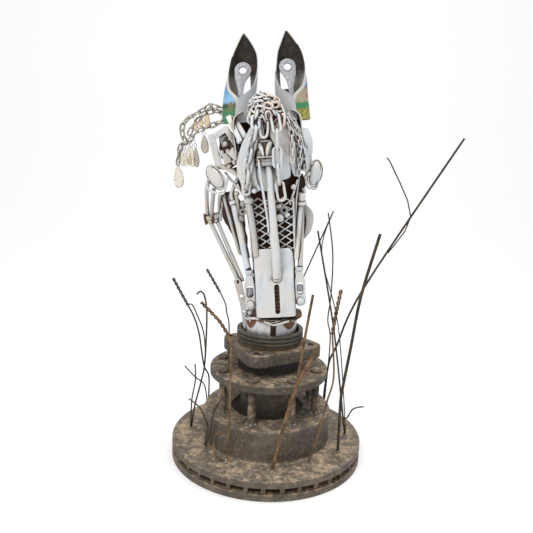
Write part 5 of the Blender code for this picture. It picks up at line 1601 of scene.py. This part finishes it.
# %% Welds at the feet
feet = [(-113, 105), (-130, 3), (-99, -60), (-61, -99), (105, 95), (118, -58), (137, 3), (67, -103),
        (11, -127)]
blobs = []
for number, (x, y) in enumerate(feet):
    blobs.append(bead((x, y, DISC_HEIGHT + 0.8), 4.0, (1, 1, 0.6)))
    blobs.append(bead((x + 3.0 * cos(number), y + 3.0 * sin(number), DISC_HEIGHT + 0.6),
                      3.0, (1, 1, 0.7)))
piece("grass_welds", joined(*blobs), WELD, crease=70, space=BASE)

# %% [markdown]
# ## Scrap behind the cheeks
# Small offcuts, rollers and weld beads fill the gaps that the photo shows between the tubes.
# What lies deep inside is rusty bar and torn plate, too dark to read, so its form is guessed.
# Its dark rust is rust darkened further as painted shade.

# %% Small scrap
scrap = joined(
    turned([(3, -3), (7, -3), (7, 3), (3, 3)], 24,
           at((20, -34, 179)) @ about("X", 1.3)),
    turned([(2.5, -2.5), (5.5, -2.5), (5.5, 2.5), (2.5, 2.5)], 24,
           at((-45, -20, 178)) @ about("X", 1.2)),
    bead((-43, -20, 190), 6.0, (1, 1, 1), 0.5), bead((-47, -19, 168), 4.6, (1, 1, 1), 0.5),
)
piece("cheek_scrap", scrap, VALVE, crease=50)
balls = joined(
    bead((13, -36, 168), 6.2, (1, 1, 1), 0.12), bead((24, -36, 172), 4.2, (1, 1, 1), 0.4),
    bead((12, -37, 186), 3.8, (1, 1, 1), 0.4), bead((-38, -30, 214), 4.5),
    bead((36, -34, 214), 4.2), bead((-24, -50, 212), 4.0), bead((14, -54, 226), 3.8),
    bead((-46, -28, 236), 4.6),
    bead((-54, -4, 206), 4.2), bead((52, -8, 206), 4.4), bead((60, -8, 232), 4.6),
)
piece("face_beads", balls, WHITE, crease=70)
lining = []
for number in range(26):
    step = number / 25
    u = 24.0 * sin(number * 2.4)
    w = 100.0 + 200.0 * step
    v = -12.0 + 10.0 * cos(number * 1.7)
    lining.append(bar_between((u - 13 * cos(number), v, w - 9),
                              (u + 13 * cos(number), v - 4, w + 9),
                              6.0 + 3.0 * sin(number) ** 2, 3.0, 0.4))
piece("inner_scrap", joined(*lining), INNER_RUST_AND_SHADE)


def crumpled(outline, depth, amount=2.4):
    """A torn offcut of plate."""
    bm = slab(outline, 2.4, upright(depth))
    refine(bm, 3.0)
    return roughen(bm, amount, 9.0)


dark_offcuts = joined(
    crumpled([(-80, 208), (-58, 210), (-46, 186), (-42, 130), (-42, 92), (-50, 94), (-61, 124),
              (-80, 168)], 12),
    crumpled([(36, 234), (53, 232), (57, 214), (49, 198), (36, 202)], 4),
    crumpled([(44, 188), (57, 187), (58, 142), (46, 124)], 8),
    crumpled([(-78, 298), (-60, 306), (-42, 286), (-38, 258), (-58, 248), (-76, 262)], 2),
    crumpled([(-58, 246), (-44, 250), (-34, 214), (-46, 206)], 2),
)
piece("dark_offcuts", dark_offcuts, INNER_RUST_AND_SHADE, crease=50)
grey_offcuts = joined(
    crumpled([(-74, 292), (-60, 300), (-47, 282), (-46, 266), (-60, 262), (-70, 272)], -12, 4.0),
    bent([(-66, 4, 204), (-58, -2, 160), (-46, -10, 100)], 2.4, 14),
    bent([(-76, 6, 204), (-68, 2, 166), (-54, -8, 108)], 2.8, 14),
    bent([(-55, -6, 204), (-48, -12, 150), (-40, -20, 104)], 2.8, 14),
    bead((-66, -16, 284), 4.6), bead((-57, -18, 292), 4.0), bead((-62, -18, 272), 4.2),
    bead((-52, -18, 276), 3.6),
)
piece("grey_offcuts", grey_offcuts, WORN, crease=50)

# %% [markdown]
# ## Shelter and painted shade
# Brush and spray don't reach deep corners, dust stays in them, and shade falls there. Rays from
# each vertex of the painted and the iron pieces find how much stands in front of it. What is
# close counts for the attribute `shelter` and what is further off for `gloom`, and the
# finishes turn them into painted shade, grime, rust and packed dust.

# %% Shelter
bpy.context.view_layer.update()
corners = []
faces = []
for solid in PIECES:
    mesh = solid.data
    mesh.calc_loop_triangles()
    count = len(corners)
    corners += [tuple(vert.co) for vert in mesh.vertices]
    for triangle in mesh.loop_triangles:
        faces.append(tuple(count + index for index in triangle.vertices))
tree = BVHTree.FromPolygons(corners, faces)
NEAR = 0.016
FAR = 0.055
RAYS = 14
RAY_START = 0.0006
SHELTER_GAIN = 1.5
dome = []
for number in range(RAYS):
    rise = 0.12 + 0.86 * (number + 0.5) / RAYS
    flat = sqrt(1.0 - rise * rise)
    dome.append(Vector((flat * cos(GOLDEN_ANGLE * number),
                        flat * sin(GOLDEN_ANGLE * number), rise)))
measured = 0
for solid in PIECES:
    mesh = solid.data
    if not (PAINTS | IRONS) & set(mesh.materials):
        continue
    near = np.zeros(len(mesh.vertices), np.float32)
    far = np.zeros(len(mesh.vertices), np.float32)
    for index, vert in enumerate(mesh.vertices):
        turn = vert.normal.to_track_quat("Z", "Y")
        start = vert.co + vert.normal * RAY_START
        for direction in dome:
            hit = tree.ray_cast(start, turn @ direction, FAR)
            if hit[0] is not None:
                near[index] += max(0.0, 1.0 - hit[3] / NEAR)
                far[index] += 1.0 - 0.5 * hit[3] / FAR
    measured += len(near)
    for name, values in (("shelter", SHELTER_GAIN * near), ("gloom", far)):
        attribute = mesh.attributes.new(name, "FLOAT", "POINT")
        attribute.data.foreach_set("value", np.minimum(values / len(dome), 1.0))
print("shelter measured at", measured, "vertices")

# %% [markdown]
# ## Light and camera
# A pale floor that curves up behind and glows a little, a bright even sky, a large soft lamp
# from the upper left and another from above give the photo's high key. The camera was solved
# from the ellipses of the base.

# %% Floor
FLOOR_HALF = 4.0
FLOOR_FRONT = -3.0
FLOOR_BACK = 1.2
SWEEP = 0.9
WALL_TOP = 4.0
PAPER_TONE = (0.60, 0.60, 0.598, 1.0)
PAPER_GLOW = 0.37


def stage_floor():
    bm = bmesh.new()
    line = [(FLOOR_FRONT, 0.0), (FLOOR_BACK, 0.0)]
    for step in range(1, 17):
        angle = pi / 2 * step / 16
        line.append((FLOOR_BACK + SWEEP * sin(angle), SWEEP - SWEEP * cos(angle)))
    line.append((FLOOR_BACK + SWEEP, WALL_TOP))
    verts = [bm.verts.new((-FLOOR_HALF, y, z)) for y, z in line]
    edges = [bm.edges.new(pair) for pair in zip(verts, verts[1:])]
    more = bmesh.ops.extrude_edge_only(bm, edges=edges)["geom"]
    far_side = [item for item in more if isinstance(item, bmesh.types.BMVert)]
    bmesh.ops.translate(bm, vec=(2.0 * FLOOR_HALF, 0.0, 0.0), verts=far_side)
    bmesh.ops.recalc_face_normals(bm, faces=bm.faces)
    mesh = bpy.data.meshes.new("floor")
    bm.to_mesh(mesh)
    bm.free()
    mesh.shade_smooth()
    floor = linked("floor", mesh)
    finish = Finish("floor_paper", Roughness=0.9)
    finish.shader.inputs["Base Color"].default_value = PAPER_TONE
    finish.shader.inputs["Emission Color"].default_value = (1.0, 1.0, 0.995, 1.0)
    finish.shader.inputs["Emission Strength"].default_value = PAPER_GLOW
    mesh.materials.append(finish.material)


stage_floor()
print("floor staged")

# %% Lamps
SKY_STRENGTH = 0.60
KEY_POWER = 31.0
TOP_POWER = 26.0


def add_lamp(name, place, target, size, power, colour):
    data = bpy.data.lights.new(name, "AREA")
    data.size = size
    data.energy = power
    data.color = colour
    lamp = linked(name, data)
    lamp.location = place
    lamp.rotation_euler = (Vector(target) - Vector(place)).to_track_quat("-Z", "Y").to_euler()


bpy.context.scene.view_settings.view_transform = "Standard"
world = bpy.data.worlds.new("sky")
bpy.context.scene.world = world
world.use_nodes = True
world.node_tree.nodes["Background"].inputs["Color"].default_value = (0.97, 0.985, 1.0, 1.0)
world.node_tree.nodes["Background"].inputs["Strength"].default_value = SKY_STRENGTH
middle = (AXIS.x, 0.0, 0.35)
add_lamp("key", (-1.0, -1.7, 2.1), middle, 0.9, KEY_POWER, (1.0, 0.98, 0.95))
add_lamp("top", (0.3, -0.1, 2.4), middle, 1.2, TOP_POWER, (0.97, 0.985, 1.0))
print("lamps", KEY_POWER, "and", TOP_POWER, "watts")

# %% Camera
YAW = -0.010299671
PITCH = 0.1985996
ROLL = 0.0372240
CAMERA_BACK = 0.96052
CAMERA_HEIGHT = 0.51667
PHOTO_SIDE = 533.0
FOCAL_PIXELS = 600.0
ahead = Vector((sin(YAW) * cos(PITCH), cos(YAW) * cos(PITCH), -sin(PITCH)))
across = Vector((cos(YAW), -sin(YAW), 0.0))
axes = Matrix((across, across.cross(ahead), -ahead)).transposed().to_4x4()
camera_data = bpy.data.cameras.new("photo_camera")
camera_data.sensor_width = 36.0
camera_data.lens = FOCAL_PIXELS / PHOTO_SIDE * camera_data.sensor_width
camera = linked("photo_camera", camera_data)
station = at((AXIS.x, AXIS.y - CAMERA_BACK, CAMERA_HEIGHT))
camera.matrix_world = station @ axes @ about("Z", ROLL)
bpy.context.scene.camera = camera
print("lens", round(camera_data.lens, 1), "mm")

# %% Sizes and the end
total = sum(len(solid.data.loop_triangles) for solid in PIECES)
print("pieces", len(PIECES), "triangles", total)
